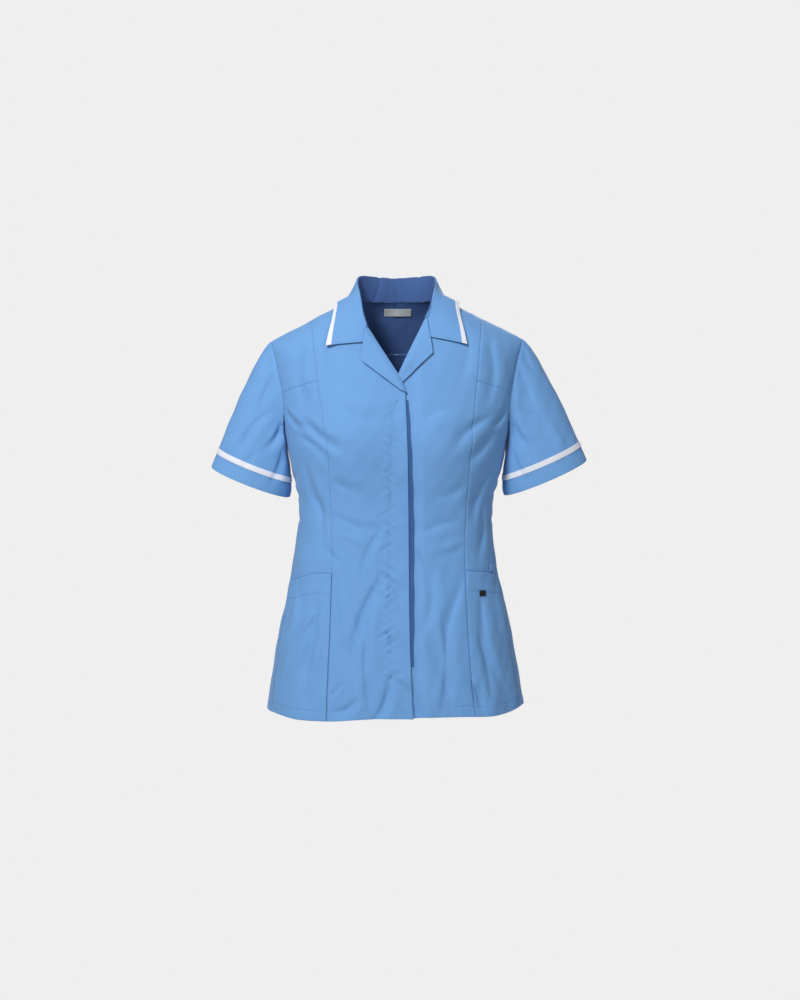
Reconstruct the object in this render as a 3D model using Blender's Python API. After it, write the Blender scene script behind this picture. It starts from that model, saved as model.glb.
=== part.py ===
"""Short sleeved work tunic, filled out as if worn, hollow and open at neck, hem and cuffs.

Lengths at the top are millimetres and become metres where the meshes are made. The frame has
+Z up and the front facing -Y. The origin lies between the two high points of the shoulders,
at their level. "Right" and "left" are the wearer's, so the right side is at -X.
"""
import math

import bpy
import numpy as np

# Cloth and seams, in millimetres
CLOTH = 1.5
BRAID = 1.0
SEAM_GAP = 0.3
LAYER_GAP = 0.35
LOOSE_GAP = 0.9
FLY_GAP = 0.7
UNDER_DEPTH = 4.7
COLLAR_CLEAR = 1.3

# Shoulders: the ridge falls in a straight line past the neck point to the sleeve head,
# from an apex between them, a little less steeply on the left
NECK_POINT_X = 68.0
RIDGE_APEX = 35.4
RIDGE_SLOPE_RIGHT = 0.521
RIDGE_SLOPE_LEFT = 0.4997
DOME_HEIGHT = 60.0
SQUARENESS = 2.4

# Body sections, a row for each level: half width on each side, depth in front, depth behind
BODY_SECTIONS = [
    # level, half_right, half_left, front, back
    (40.0, 230.0, 230.0, 45.0, 50.0),
    (0.0, 230.0, 230.0, 54.0, 56.0),
    (-30.0, 229.0, 229.0, 66.0, 66.0),
    (-75.0, 221.0, 221.0, 86.0, 84.0),
    (-107.0, 211.5, 211.5, 97.0, 95.0),
    (-134.0, 207.0, 207.0, 105.0, 102.0),
    (-167.0, 202.5, 202.5, 112.0, 107.0),
    (-200.0, 197.5, 197.5, 118.0, 109.0),
    (-240.0, 188.5, 188.5, 121.0, 108.0),
    (-264.0, 183.5, 183.5, 121.0, 106.0),
    (-311.0, 173.5, 173.0, 118.0, 99.0),
    (-345.0, 166.0, 163.5, 115.0, 93.0),
    (-380.0, 166.0, 162.5, 114.0, 91.0),
    (-420.0, 171.5, 165.0, 115.0, 94.0),
    (-461.0, 177.5, 171.0, 118.0, 101.0),
    (-515.0, 187.0, 182.5, 125.0, 114.0),
    (-569.0, 199.0, 194.0, 132.0, 126.0),
    (-624.0, 207.0, 203.0, 138.0, 134.0),
    (-678.0, 215.0, 211.5, 143.0, 139.0),
    (-740.0, 221.0, 218.0, 147.0, 143.0),
]
BUST = {"x": 86.0, "level": -250.0, "radius": 46.0, "height": 13.0}
BLADE = {"x": 80.0, "level": -165.0, "radius": 50.0, "height": 7.0}

# Soft flutes that grow towards the hem: where they stand round the body, from which level,
# how wide and how far out (or in, when negative)
FLUTES = [
    # angle_deg, top_level, width, height
    (-12.0, -520.0, 16.0, 1.5),
    (-33.0, -480.0, 15.0, -3.0),
    (-45.0, -500.0, 20.0, 2.5),
    (-66.0, -470.0, 24.0, -3.0),
    (-96.0, -430.0, 26.0, 3.0),
    (-122.0, -400.0, 30.0, -4.0),
    (-148.0, -430.0, 28.0, 4.0),
    (24.0, -540.0, 16.0, -2.0),
    (41.0, -500.0, 16.0, 2.5),
    (58.0, -470.0, 22.0, -3.0),
    (88.0, -440.0, 26.0, 2.5),
    (114.0, -400.0, 28.0, -4.0),
    (140.0, -440.0, 30.0, 4.0),
]

# The hem's level round the body, lower at the right front
HEM = [
    # angle_deg, level
    (-180.0, -700.0),
    (-150.0, -702.0),
    (-120.0, -700.0),
    (-90.0, -696.5),
    (-75.0, -698.0),
    (-55.0, -700.5),
    (-40.0, -703.0),
    (-25.0, -702.5),
    (-12.0, -698.5),
    (0.0, -696.0),
    (25.0, -695.5),
    (45.0, -697.0),
    (60.0, -694.5),
    (75.0, -689.0),
    (90.0, -688.0),
    (120.0, -693.0),
    (150.0, -698.0),
    (180.0, -700.0),
]

# Seams on the front, as x on each side at a level
PRINCESS_SEAMS = [
    # level, right_x, left_x
    (-39.6, -144.0, 144.0),
    (-95.0, -137.0, 138.0),
    (-147.0, -130.5, 133.5),
    (-250.0, -116.5, 124.5),
    (-340.0, -109.0, 117.0),
    (-450.0, -106.5, 113.5),
    (-550.0, -109.0, 117.0),
    (-649.0, -113.5, 124.0),
    (-701.0, -115.0, 130.0),
]
CHEST_SEAM_LEVEL = -147.0
CHEST_SEAM_END = -166.0
SIDE_SEAM = [
    # level, right_deg, left_deg
    (-240.0, 90.0, 90.0),
    (-290.0, 86.5, 86.0),
    (-345.0, 83.5, 82.0),
    (-460.0, 79.5, 76.5),
    (-580.0, 78.5, 75.0),
    (-705.0, 78.0, 76.0),
]
YOKE_SEAM_LEVEL = -92.0

# Armhole, from the shoulder tip down the front to the underarm, in the chart of the body
ARMHOLE_FRONT = [
    # angle_deg, level
    (72.7, -75.0),
    (73.2, -92.0),
    (73.0, -107.0),
    (71.2, -134.0),
    (69.2, -166.0),
    (70.5, -196.0),
    (75.5, -221.0),
    (82.0, -235.0),
    (90.0, -240.0),
]
ARMHOLE_BACK = [
    # angle_deg, level
    (72.7, -75.0),
    (74.0, -92.0),
    (73.5, -112.0),
    (71.5, -140.0),
    (70.0, -168.0),
    (70.8, -198.0),
    (75.5, -222.0),
    (82.0, -235.0),
    (90.0, -240.0),
]

# Opening of the front: the right front lies on top
FRONT_EDGE = [
    # level, x
    (-168.0, 14.5),
    (-227.0, 17.0),
    (-300.0, 19.0),
    (-440.0, 20.5),
    (-570.0, 22.0),
    (-652.0, 25.0),
    (-701.0, 28.0),
]
BREAK_LEVEL = -168.0
V_LEVEL = -138.0
V_X = 1.0
GORGE_RIGHT = (-50.5, -57.5)
GORGE_LEFT = (50.0, -42.0)
NECK_FRONT = [
    # fraction from the gorge to the neck point, share of the sideways way
    (0.0, 0.0),
    (0.25, 0.38),
    (0.5, 0.66),
    (0.75, 0.88),
    (1.0, 1.0),
]
BACK_NECK_LEVEL = -4.0

# Cuff of each sleeve: the centre of its ring, its long half size and that one's rise outwards
CUFFS = {
    -1: {"x": -248.0, "level": -314.0, "half_wide": 71.5, "rise": math.radians(21.0)},
    1: {"x": 253.0, "level": -306.5, "half_wide": 76.5, "rise": math.radians(23.0)},
}
CUFF_HALF_DEEP = 48.0
CUFF_FRONT_DROP = 0.14
BRAID_ABOVE_CUFF = 22.0
BRAID_WIDTH = 9.5

# Collar: its crest and its outer edge on the right side
COLLAR_CREST = [
    # share, x, y, z
    (0.0, -50.5, -76.0, -56.5),
    (0.2, -57.0, -52.0, -21.0),
    (0.36, -63.5, -24.0, 7.0),
    (0.52, -67.0, 3.0, 27.0),
    (0.70, -60.0, 29.0, 38.0),
    (0.85, -36.0, 47.0, 38.0),
    (1.0, 0.0, 52.5, 35.5),
]
COLLAR_EDGE = [
    # share, x, below_ridge, 1 in front or -1 behind
    (0.0, -116.5, 63.2, 1.0),
    (0.22, -107.5, 29.0, 1.0),
    (0.4167, -101.0, 0.0, 1.0),
    (0.55, -93.0, 11.0, -1.0),
    (0.70, -73.0, 24.5, -1.0),
    (0.85, -38.0, 37.5, -1.0),
    (1.0, 0.0, 53.4, -1.0),
]
COLLAR_NOTCH_RIGHT = (-55.0, -83.0)
COLLAR_NOTCH_LEFT = (55.5, -74.5)
COLLAR_ROLL = 1.8
# The fall lies a little off the body where it crosses the shoulders' ridge
RIDGE_LIFT = {"y": -12.0, "reach": 17.0, "height": 3.4}
TRIM_WIDTH = 7.5

# Free edges of the lapels, from the notch to the break; the right lapel hides the left one's end
LAPEL_EDGE_RIGHT = [
    # x, z
    (-55.2, -83.8),
    (-59.5, -108.0),
    (-54.5, -116.5),
    (5.0, -161.5),
]
LAPEL_EDGE_LEFT = [
    # x, z
    (56.5, -79.5),
    (59.7, -100.8),
    (54.0, -106.5),
    (9.5, -148.5),
]

POCKET_TOP = [
    # share from the princess seam to the side seam, level
    (0.0, -464.0),
    (0.35, -464.5),
    (0.7, -467.5),
    (1.0, -472.0),
]
POCKET_HEM_CLEAR = 1.0
PEN_LOOP = {"x": 156.5, "top": -449.0, "width": 6.5, "length": 15.5}
POCKET_LABEL = {"x": 141.0, "top": -491.0, "width": 10.0, "length": 11.0}
NECK_LABEL = {"x": 2.0, "top": -15.0, "width": 47.0, "length": 12.5}
FLY_STRIP = {"top": -184.0, "bottom": -612.0, "under": 14.0, "beyond": 7.0}

# Cells of the meshes
LOWER_ROWS = 18
ARM_LOWER_ROWS = 4
LAPEL_ROWS = 4
NECK_ROWS = 6
UPPER_ROWS = LAPEL_ROWS + NECK_ROWS
FRONT_COLUMNS = 8
SIDE_COLUMNS = 5
CHEST_COLUMNS = 5
NECK_BACK_COLUMNS = 9
YOKE_ROWS = 6
BACK_COLUMNS = 8
SLEEVE_ROWS = 10

COLOURS = {
    "blue": ((0.16, 0.36, 0.70), 0.75),
    "white": ((0.86, 0.87, 0.90), 0.7),
    "grey": ((0.30, 0.32, 0.33), 0.6),
    "black": ((0.02, 0.02, 0.025), 0.6),
}


# Numbers from tables

def column(rows, index):
    return np.array([row[index] for row in rows], float)


def smooth(x, xs, ys):
    """Cubic through the rows of a table, with slopes taken from the neighbours."""
    order = np.argsort(xs)
    xs = np.asarray(xs, float)[order]
    ys = np.asarray(ys, float)[order]
    slope = np.gradient(ys, xs)
    x = np.clip(np.asarray(x, float), xs[0], xs[-1])
    i = np.clip(np.searchsorted(xs, x) - 1, 0, len(xs) - 2)
    step = xs[i + 1] - xs[i]
    u = (x - xs[i]) / step
    return (ys[i] * (2 * u ** 3 - 3 * u ** 2 + 1) + ys[i + 1] * (3 * u ** 2 - 2 * u ** 3)
            + slope[i] * step * (u ** 3 - 2 * u ** 2 + u) + slope[i + 1] * step * (u ** 3 - u ** 2))


HEM_LOWEST = min(level for _, level in HEM)


def ease(u):
    u = np.clip(u, 0.0, 1.0)
    return u * u * (3.0 - 2.0 * u)


def unit(v):
    return v / np.maximum(np.linalg.norm(v, axis=-1, keepdims=True), 1e-12)


def along(points, shares):
    """Points at shares of a polyline's length."""
    points = np.asarray(points, float)
    steps = np.linalg.norm(np.diff(points, axis=0), axis=1)
    run = np.concatenate([[0.0], np.cumsum(steps)])
    return np.stack([np.interp(np.asarray(shares) * run[-1], run, points[:, k])
                     for k in range(points.shape[1])], axis=-1)


# The body's surface, in a chart of the angle round it (0 in front, 180 behind) and the level

LEVELS = column(BODY_SECTIONS, 0)


def ridge_slope(x):
    return np.where(np.asarray(x) < 0.0, RIDGE_SLOPE_RIGHT, RIDGE_SLOPE_LEFT)


def ridge_level(x):
    return RIDGE_APEX - np.abs(x) * ridge_slope(x)


def half_width(z, left):
    return np.where(left, smooth(z, LEVELS, column(BODY_SECTIONS, 2)),
                    smooth(z, LEVELS, column(BODY_SECTIONS, 1)))


def reach(x, z, side):
    """How far in front of (side 1) or behind (side -1) the middle plane the body lies."""
    depth = np.where(side > 0, smooth(z, LEVELS, column(BODY_SECTIONS, 3)),
                     smooth(z, LEVELS, column(BODY_SECTIONS, 4)))
    across = np.clip(np.abs(x) / half_width(z, x >= 0.0), 0.0, 1.0)
    profile = (1.0 - across ** SQUARENESS) ** (1.0 / SQUARENESS)
    for mound, where in ((BUST, 1), (BLADE, -1)):
        r2 = (np.abs(x) - mound["x"]) ** 2 + (z - mound["level"]) ** 2
        rise = mound["height"] * np.exp(-r2 / (2.0 * mound["radius"] ** 2))
        depth = depth + np.where(side == where, rise, 0.0)
    return depth * profile


def body(angle, z):
    """Point of the body's outer surface at an angle (radians) and a level."""
    angle, z = np.broadcast_arrays(np.asarray(angle, float), np.asarray(z, float))
    half = half_width(z, np.sin(angle) >= 0.0)
    x = half * np.sign(np.sin(angle)) * np.abs(np.sin(angle)) ** (2.0 / SQUARENESS)
    side = np.where(np.cos(angle) >= 0.0, 1, -1)
    rise = np.clip((ridge_level(x) - z) / DOME_HEIGHT, 0.0, 1.0)
    y = -side * reach(x, z, side) * np.sqrt(1.0 - (1.0 - rise) ** 2)
    out = np.zeros_like(x)
    for angle_deg, top, width, height in FLUTES:
        turn = np.remainder(angle - math.radians(angle_deg) + math.pi, 2 * math.pi) - math.pi
        out += height * np.exp(-(turn * 150.0 / width) ** 2) * ease((z - top) / (HEM_LOWEST - top))
    return np.stack([x + out * np.sin(angle), y - out * np.cos(angle), z], axis=-1)


def body_normal(angle, z):
    """Outward normal; on the shoulder's ridge it is square to the ridge."""
    turn, drop = 2e-3, 0.05
    across = body(angle + turn, z) - body(angle - turn, z)
    down = body(angle, z - drop) - body(angle, z)
    normal = unit(np.cross(down, across))
    x = body(angle, z)[..., 0]
    on_ridge = (ridge_level(x) - z < 0.2) & (np.abs(x) > NECK_POINT_X - 1.0)
    ridge = unit(np.stack([np.sign(x) * ridge_slope(x), np.zeros_like(x), np.ones_like(x)],
                          axis=-1))
    return np.where(on_ridge[..., None], ridge, normal)


def chart(x, z, side=1):
    """The chart's angle of the body's point at x and z, in front or behind."""
    x, z = np.broadcast_arrays(np.asarray(x, float), np.asarray(z, float))
    share = np.clip(np.abs(x) / half_width(z, x >= 0.0), 0.0, 1.0)
    angle = np.arcsin(share ** (SQUARENESS / 2.0))
    angle = np.where(np.asarray(side) > 0, angle, math.pi - angle)
    return np.stack([np.where(x < 0.0, -angle, angle), z], axis=-1)


def rest_on_body(points, clearance):
    """Move points out until they clear the body's surface by a distance."""
    def depth_share(p):
        side = np.where(p[..., 1] <= 0.0, 1, -1)
        rise = np.minimum((ridge_level(p[..., 0]) - p[..., 2]) / DOME_HEIGHT, 1.0)
        span = np.maximum(reach(p[..., 0], p[..., 2], side), 1.0)
        return np.sqrt((p[..., 1] / span) ** 2 + (1.0 - rise) ** 2)

    step = 0.2
    for _ in range(4):
        value = depth_share(points)
        slope = np.stack([(depth_share(points + step * axis) - depth_share(points - step * axis))
                          / (2 * step) for axis in np.eye(3)], axis=-1)
        size = np.maximum(np.linalg.norm(slope, axis=-1), 1e-3)
        short = np.clip(clearance - (value - 1.0) / size, 0.0, 6.0)
        points = points + slope / size[..., None] * short[..., None]
    return points


# Meshes

def new_object(name, verts, faces, colour, parts):
    mesh = bpy.data.meshes.new(name)
    mesh.from_pydata([tuple(v) for v in np.asarray(verts) * 0.001], [], faces)
    mesh.validate()
    obj = bpy.data.objects.new(name, mesh)
    obj.data.materials.append(colour)
    parts.objects.link(obj)
    mesh.shade_smooth()
    mesh.set_sharp_from_angle(angle=math.radians(40.0))
    return obj


def cloth(name, outer, inner, colour, parts, ring=False):
    """A closed wall between an outer and an inner grid of points (rows, columns).

    Rows run up and columns run to the wearer's left, seen from outside; in a ring the last
    column joins the first.
    """
    rows, columns = outer.shape[:2]
    count = rows * columns
    verts = np.concatenate([outer.reshape(-1, 3), inner.reshape(-1, 3)])
    index = np.arange(count).reshape(rows, columns)
    faces = []
    spans = columns if ring else columns - 1
    for r in range(rows - 1):
        for c in range(spans):
            a, b = index[r, c], index[r, (c + 1) % columns]
            d, e = index[r + 1, (c + 1) % columns], index[r + 1, c]
            faces.append((a, b, d, e))
            faces.append((a + count, e + count, d + count, b + count))
    if ring:
        for c in range(columns):
            n = (c + 1) % columns
            faces.append((index[0, n], index[0, c], index[0, c] + count, index[0, n] + count))
            faces.append((index[-1, c], index[-1, n], index[-1, n] + count, index[-1, c] + count))
    else:
        edge = np.concatenate([index[0, :], index[1:, -1], index[-1, -2::-1], index[-2:0:-1, 0]])
        for a, b in zip(edge, np.roll(edge, -1)):
            faces.append((b, a, a + count, b + count))
    faces = [tuple(int(k) for k in face) for face in faces]
    return new_object(name, verts, faces, colour, parts)


def patch(left, right, bottom, top):
    """Grid of chart points between four edges; rows run from bottom to top."""
    v = np.linspace(0.0, 1.0, len(left))[:, None, None]
    u = np.linspace(0.0, 1.0, len(bottom))[None, :, None]
    sides = (1 - u) * left[:, None, :] + u * right[:, None, :]
    ends = (1 - v) * bottom[None, :, :] + v * top[None, :, :]
    corners = ((1 - u) * (1 - v) * bottom[0] + u * (1 - v) * bottom[-1]
               + (1 - u) * v * top[0] + u * v * top[-1])
    return sides + ends - corners


def inset(points, distance, edges=(1, 1, 1, 1)):
    """Draw a grid's edges (bottom, right, top, left) in along its own lines."""
    grid = points.copy()
    for flag, edge, inner in ((edges[0], (0, slice(None)), (1, slice(None))),
                              (edges[1], (slice(None), -1), (slice(None), -2)),
                              (edges[2], (-1, slice(None)), (-2, slice(None))),
                              (edges[3], (slice(None), 0), (slice(None), 1))):
        if flag:
            way = points[inner] - points[edge]
            grid[edge] = grid[edge] + unit(way) * distance
    return grid


def grid_normals(points, ring=False):
    """Outward normals of a grid whose rows run up and columns run to the left side."""
    if ring:
        across = np.roll(points, -1, axis=1) - np.roll(points, 1, axis=1)
    else:
        across = np.gradient(points, axis=1)
    up = np.gradient(points, axis=0)
    return unit(np.cross(across, up))


def colour_set():
    made = {}
    for name, (rgb, roughness) in COLOURS.items():
        material = bpy.data.materials.new(name)
        material.use_nodes = True
        shader = material.node_tree.nodes["Principled BSDF"]
        shader.inputs["Base Color"].default_value = (*rgb, 1.0)
        shader.inputs["Roughness"].default_value = roughness
        made[name] = material
    return made


# Seam lines shared by the pieces on both sides

def hem_level(angle):
    degrees = np.degrees(np.remainder(angle + math.pi, 2 * math.pi) - math.pi)
    return smooth(degrees, column(HEM, 0), column(HEM, 1))


def to_hem(point):
    """The same chart angle at the hem's level."""
    return np.array([point[0], float(hem_level(point[0]))])


def seam_x(z, sign):
    return smooth(z, column(PRINCESS_SEAMS, 0), column(PRINCESS_SEAMS, 1 if sign < 0 else 2))


def front_edge_x(z):
    return smooth(z, column(FRONT_EDGE, 0), column(FRONT_EDGE, 1))


def squared(count):
    """Shares from 0 to 1 that crowd towards 1, where the shoulder rounds over."""
    return 1.0 - np.linspace(1.0, 0.0, count + 1) ** 2


def princess(sign):
    """Chart points of a princess seam, from the hem to the shoulder."""
    bottom = float(hem_level(sign * 0.6))
    low = np.linspace(bottom, CHEST_SEAM_LEVEL, LOWER_ROWS + 1)
    top = ridge_level(PRINCESS_SEAMS[0][1 if sign < 0 else 2])
    high = CHEST_SEAM_LEVEL + (top - CHEST_SEAM_LEVEL) * squared(UPPER_ROWS)
    z = np.concatenate([low, high[1:]])
    line = chart(seam_x(z, sign), z)
    line[0] = to_hem(line[0])
    return line


def armhole(sign):
    """Chart points round the armhole: the front from tip to underarm, then the back."""
    scale = np.array([2.0, 1.0])

    tip_angle, tip_level = ARMHOLE_FRONT[0]
    tip = body(sign * math.radians(tip_angle), tip_level)
    lift = ridge_level(tip[0]) - tip_level

    def branch(rows, counts, stops, side):
        keys = np.array(rows)
        keys[:, 1] += lift * ease((keys[:, 1] - CHEST_SEAM_END) / (tip_level - CHEST_SEAM_END))
        dense_level = np.linspace(0.0, 1.0, 241)
        spread = np.linspace(0.0, 1.0, len(keys))
        dense = np.stack([smooth(dense_level, spread, keys[:, k]) for k in range(2)], axis=-1)
        cuts = [0] + [int(np.argmin(np.abs(dense[:, 1] - stop))) for stop in stops] + [240]
        line = [dense[0]]
        for count, start, end in zip(counts, cuts[:-1], cuts[1:]):
            stretch = dense[start:end + 1]
            shares = np.linspace(0.0, 1.0, count + 1)
            if start == 0:
                shares = shares ** 1.35
            line.extend((along(stretch * scale, shares) / scale)[1:])
        line = np.array(line)
        angle = np.radians(line[:, 0])
        if side < 0:
            angle = math.pi - angle
        return np.stack([sign * angle, line[:, 1]], axis=-1)

    front = branch(ARMHOLE_FRONT, (UPPER_ROWS, ARM_LOWER_ROWS), (CHEST_SEAM_END,), 1)
    back = branch(ARMHOLE_BACK, (YOKE_ROWS, 8), (YOKE_SEAM_LEVEL - 14.0,), -1)
    return front, back


def side_seam(sign):
    """Chart points of a side seam, from the hem to the underarm."""
    low = float(hem_level(sign * math.radians(78.0)))
    z = np.linspace(low, -240.0, LOWER_ROWS - ARM_LOWER_ROWS + 1)
    degrees = smooth(z, column(SIDE_SEAM, 0), column(SIDE_SEAM, 1 if sign < 0 else 2))
    line = np.stack([sign * np.radians(degrees), z], axis=-1)
    line[0] = to_hem(line[0])
    return line


def shoulder(x0, x1, count, side=1):
    """Chart points along the shoulder's ridge, from x0 to x1."""
    x = np.linspace(x0, x1, count + 1)
    return chart(x, ridge_level(x), side)


def neck_front(sign):
    """Chart points from the break up the roll line, then the neck seam to the shoulder."""
    gorge = GORGE_RIGHT if sign < 0 else GORGE_LEFT
    v = np.array([V_X, V_LEVEL])
    gorge = np.array(gorge)
    if sign < 0:
        start = np.array([front_edge_x(BREAK_LEVEL), BREAK_LEVEL])
    else:
        start = v + (v - gorge) * (V_LEVEL - BREAK_LEVEL) / (gorge[1] - V_LEVEL)
    roll = along([start, v, gorge], np.linspace(0.0, 1.0, LAPEL_ROWS + 1))
    share = np.linspace(0.0, 1.0, NECK_ROWS + 1)[1:]
    spread = np.interp(share, column(NECK_FRONT, 0), column(NECK_FRONT, 1))
    up = 1.0 - (1.0 - share) ** 1.6
    neck = np.stack([gorge[0] + (sign * NECK_POINT_X - gorge[0]) * spread,
                     gorge[1] + (ridge_level(sign * NECK_POINT_X) - gorge[1]) * up], axis=-1)
    line = np.concatenate([roll, neck])
    return chart(line[:, 0], line[:, 1])


def neck_back():
    """Chart points of the back neck seam, from the right neck point to the left one."""
    share = np.linspace(-1.0, 1.0, 2 * NECK_BACK_COLUMNS + 1)
    x = NECK_POINT_X * np.sin(share * math.pi / 2.0)
    near_ridge = np.abs(share) ** 6
    z = BACK_NECK_LEVEL * (1.0 - near_ridge) + ridge_level(x) * near_ridge
    return chart(x, z, -1)


# Sleeves

def cuff_point(angle, sign):
    """The cuff's ring: 0 at the outer side, 90 degrees in front, 180 beside the body."""
    cuff = CUFFS[sign]
    long_way = np.array([sign * math.cos(cuff["rise"]), 0.0, math.sin(cuff["rise"])])
    short_way = np.array([0.0, -math.cos(CUFF_FRONT_DROP), -math.sin(CUFF_FRONT_DROP)])
    centre = np.array([cuff["x"], 0.0, cuff["level"]])
    return (centre + cuff["half_wide"] * np.cos(angle)[..., None] * long_way
            + CUFF_HALF_DEEP * np.sin(angle)[..., None] * short_way)


def sleeve_frame(sign):
    """Armhole ring points, cuff ring points, and the tangents at both ends."""
    front, back = armhole(sign)
    ring = np.concatenate([front, back[-2:0:-1]])
    start = body(ring[:, 0], ring[:, 1])
    normal = body_normal(ring[:, 0], ring[:, 1])
    half = len(front) - 1
    turn = np.concatenate([np.linspace(0.0, math.pi, half + 1),
                           np.linspace(math.pi, 2 * math.pi, len(back))[1:-1]])
    end = cuff_point(turn, sign)
    chord = unit(end - start)
    outward = np.array([sign, 0.0, 0.0])
    lean = (0.25 + 0.17 * np.cos(turn))[:, None]
    away = unit(0.6 * chord + lean * outward)
    pull = (0.6 - 0.15 * np.cos(turn))[:, None]
    rise = CUFFS[sign]["rise"]
    axis = np.array([sign * math.sin(rise), 0.0, -math.cos(rise)])
    around = sign * (np.roll(start, 1, axis=0) - np.roll(start, -1, axis=0))
    own = unit(np.cross(away, around))
    alike = ease((np.sum(own * normal, axis=-1) + 0.3) / 0.8)[:, None]
    start = start + SEAM_GAP * unit(away * alike + normal * (1.0 - alike))
    middle = unit(own + normal)
    seam_body = unit(normal * (1 - alike) + middle * alike)
    seam_sleeve = unit(own * (1 - alike) + middle * alike)
    return {"ring": ring, "start": start, "end": end, "away": away, "axis": axis, "pull": pull,
            "normal": normal, "own": own, "seam_body": seam_body, "seam_sleeve": seam_sleeve}


def sleeve_surface(frame, share):
    """Sleeve points for a grid of shares (rows, ring), from the armhole (0) to the cuff (1)."""
    u = np.broadcast_to(share, (len(share), len(frame["ring"])))[..., None]
    start, end = frame["start"][None], frame["end"][None]
    length = np.linalg.norm(frame["end"] - frame["start"], axis=-1)[None, :, None]
    away, axis = frame["away"][None], frame["axis"][None, None]
    return (start * (2 * u ** 3 - 3 * u ** 2 + 1) + end * (3 * u ** 2 - 2 * u ** 3)
            + away * frame["pull"] * length * (u ** 3 - 2 * u ** 2 + u) + axis * 0.8 * length * (u ** 3 - u ** 2))


# The pieces

def wall(points, normals, outside=0.0, thickness=CLOTH):
    """Outer and inner grids of a wall whose outer face lies a distance outside the points."""
    outside = np.asarray(outside, float)
    if outside.ndim:
        outside = outside[..., None]
    return points + normals * outside, points + normals * (outside - thickness)


def panel(name, grid, colour, parts, normals=None, outside=0.0, thickness=CLOTH, gap=None):
    points = inset(body(grid[..., 0], grid[..., 1]), SEAM_GAP / 2 if gap is None else gap)
    if normals is None:
        normals = body_normal(grid[..., 0], grid[..., 1])
    outer, inner = wall(points, normals, outside, thickness)
    return cloth(name, outer, inner, colour, parts)


def hem_line(start, end, count):
    angle = np.linspace(start[0], end[0], count + 1)
    return np.stack([angle, hem_level(angle)], axis=-1)


def left_sink(x, z):
    """How far the left front sinks to pass under the right one."""
    past = ease((front_edge_x(z) + 26.0 - x) / 15.0)
    return -UNDER_DEPTH * past * ease((-112.0 - z) / 26.0)


def make_front(sign, colour, parts):
    outer_seam = princess(sign)
    neck = neck_front(sign)
    low = np.linspace(0.0, 1.0, LOWER_ROWS + 1)[:-1]
    z = HEM_LOWEST + (neck[0, 1] - HEM_LOWEST) * low
    edge_x = front_edge_x(z) - (0.0 if sign < 0 else front_edge_x(BREAK_LEVEL) - neck_start_x())
    edge = np.concatenate([chart(edge_x, z), neck])
    edge[0] = to_hem(edge[0])
    seam_top = PRINCESS_SEAMS[0][1 if sign < 0 else 2]
    if sign < 0:
        left, right = outer_seam, edge
        top = shoulder(seam_top, -NECK_POINT_X, FRONT_COLUMNS)
    else:
        left, right = edge, outer_seam
        top = shoulder(NECK_POINT_X, seam_top, FRONT_COLUMNS)
    grid = patch(left, right, hem_line(left[0], right[0], FRONT_COLUMNS), top)
    if sign < 0:
        return panel("front_right", grid, colour, parts)
    x = body(grid[..., 0], grid[..., 1])[..., 0]
    return panel("front_left", grid, colour, parts, outside=left_sink(x, grid[..., 1]))


def neck_start_x():
    """Where the left front's roll line meets its edge, under the right front."""
    return V_X + (V_X - GORGE_LEFT[0]) * (V_LEVEL - BREAK_LEVEL) / (GORGE_LEFT[1] - V_LEVEL)


def armhole_normals(grid, frame, row_range, edge_column):
    """Normals of a panel, bent at its armhole edge to meet the sleeve."""
    normals = body_normal(grid[..., 0], grid[..., 1])
    rows, ring = row_range
    normals[rows, edge_column] = frame["seam_body"][ring]
    return normals


def make_side_front(sign, frame, colour, parts):
    side = "right" if sign < 0 else "left"
    seam = princess(sign)[:LOWER_ROWS + 1]
    front, _ = armhole(sign)
    arm = front[:UPPER_ROWS - 1:-1]
    outer = np.concatenate([side_seam(sign), arm[1:]])
    left, right = (outer, seam) if sign < 0 else (seam, outer)
    bottom = hem_line(left[0], right[0], SIDE_COLUMNS)
    top = np.linspace(left[-1], right[-1], SIDE_COLUMNS + 1)
    grid = patch(left, right, bottom, top)
    rows = np.arange(LOWER_ROWS - ARM_LOWER_ROWS, LOWER_ROWS + 1)
    ring = np.arange(len(front) - 1, UPPER_ROWS - 1, -1)
    normals = armhole_normals(grid, frame, (rows, ring), 0 if sign < 0 else -1)
    return panel("side_front_" + side, grid, colour, parts, normals)


def make_chest(sign, frame, colour, parts):
    side = "right" if sign < 0 else "left"
    seam = princess(sign)[LOWER_ROWS:]
    front, _ = armhole(sign)
    arm = front[UPPER_ROWS::-1]
    left, right = (arm, seam) if sign < 0 else (seam, arm)
    bottom = np.linspace(left[0], right[0], CHEST_COLUMNS + 1)
    x0, x1 = body(left[-1:, 0], left[-1:, 1])[0, 0], body(right[-1:, 0], right[-1:, 1])[0, 0]
    top = shoulder(x0, x1, CHEST_COLUMNS)
    grid = patch(left, right, bottom, top)
    ring = np.arange(UPPER_ROWS, -1, -1)
    normals = armhole_normals(grid, frame, (np.arange(UPPER_ROWS + 1), ring), 0 if sign < 0 else -1)
    return panel("chest_" + side, grid, colour, parts, normals)


def unwrap(points):
    """Angles of the right half of the back, counted on past 180 degrees."""
    grid = points.copy()
    grid[..., 0] = np.where(grid[..., 0] < 0.0, grid[..., 0] + 2 * math.pi, grid[..., 0])
    return grid


def yoke_level(angle, ends):
    """Level of the yoke seam, higher in the middle than at the armholes."""
    share = (angle - ends[0][0]) / (ends[1][0] - ends[0][0])
    rise = np.sin(math.pi * np.clip(share, 0.0, 1.0)) ** 0.8
    return ends[0][1] + (YOKE_SEAM_LEVEL - ends[0][1]) * rise


def yoke_ends():
    return [unwrap(armhole(sign)[1])[YOKE_ROWS] for sign in (1, -1)]


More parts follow.
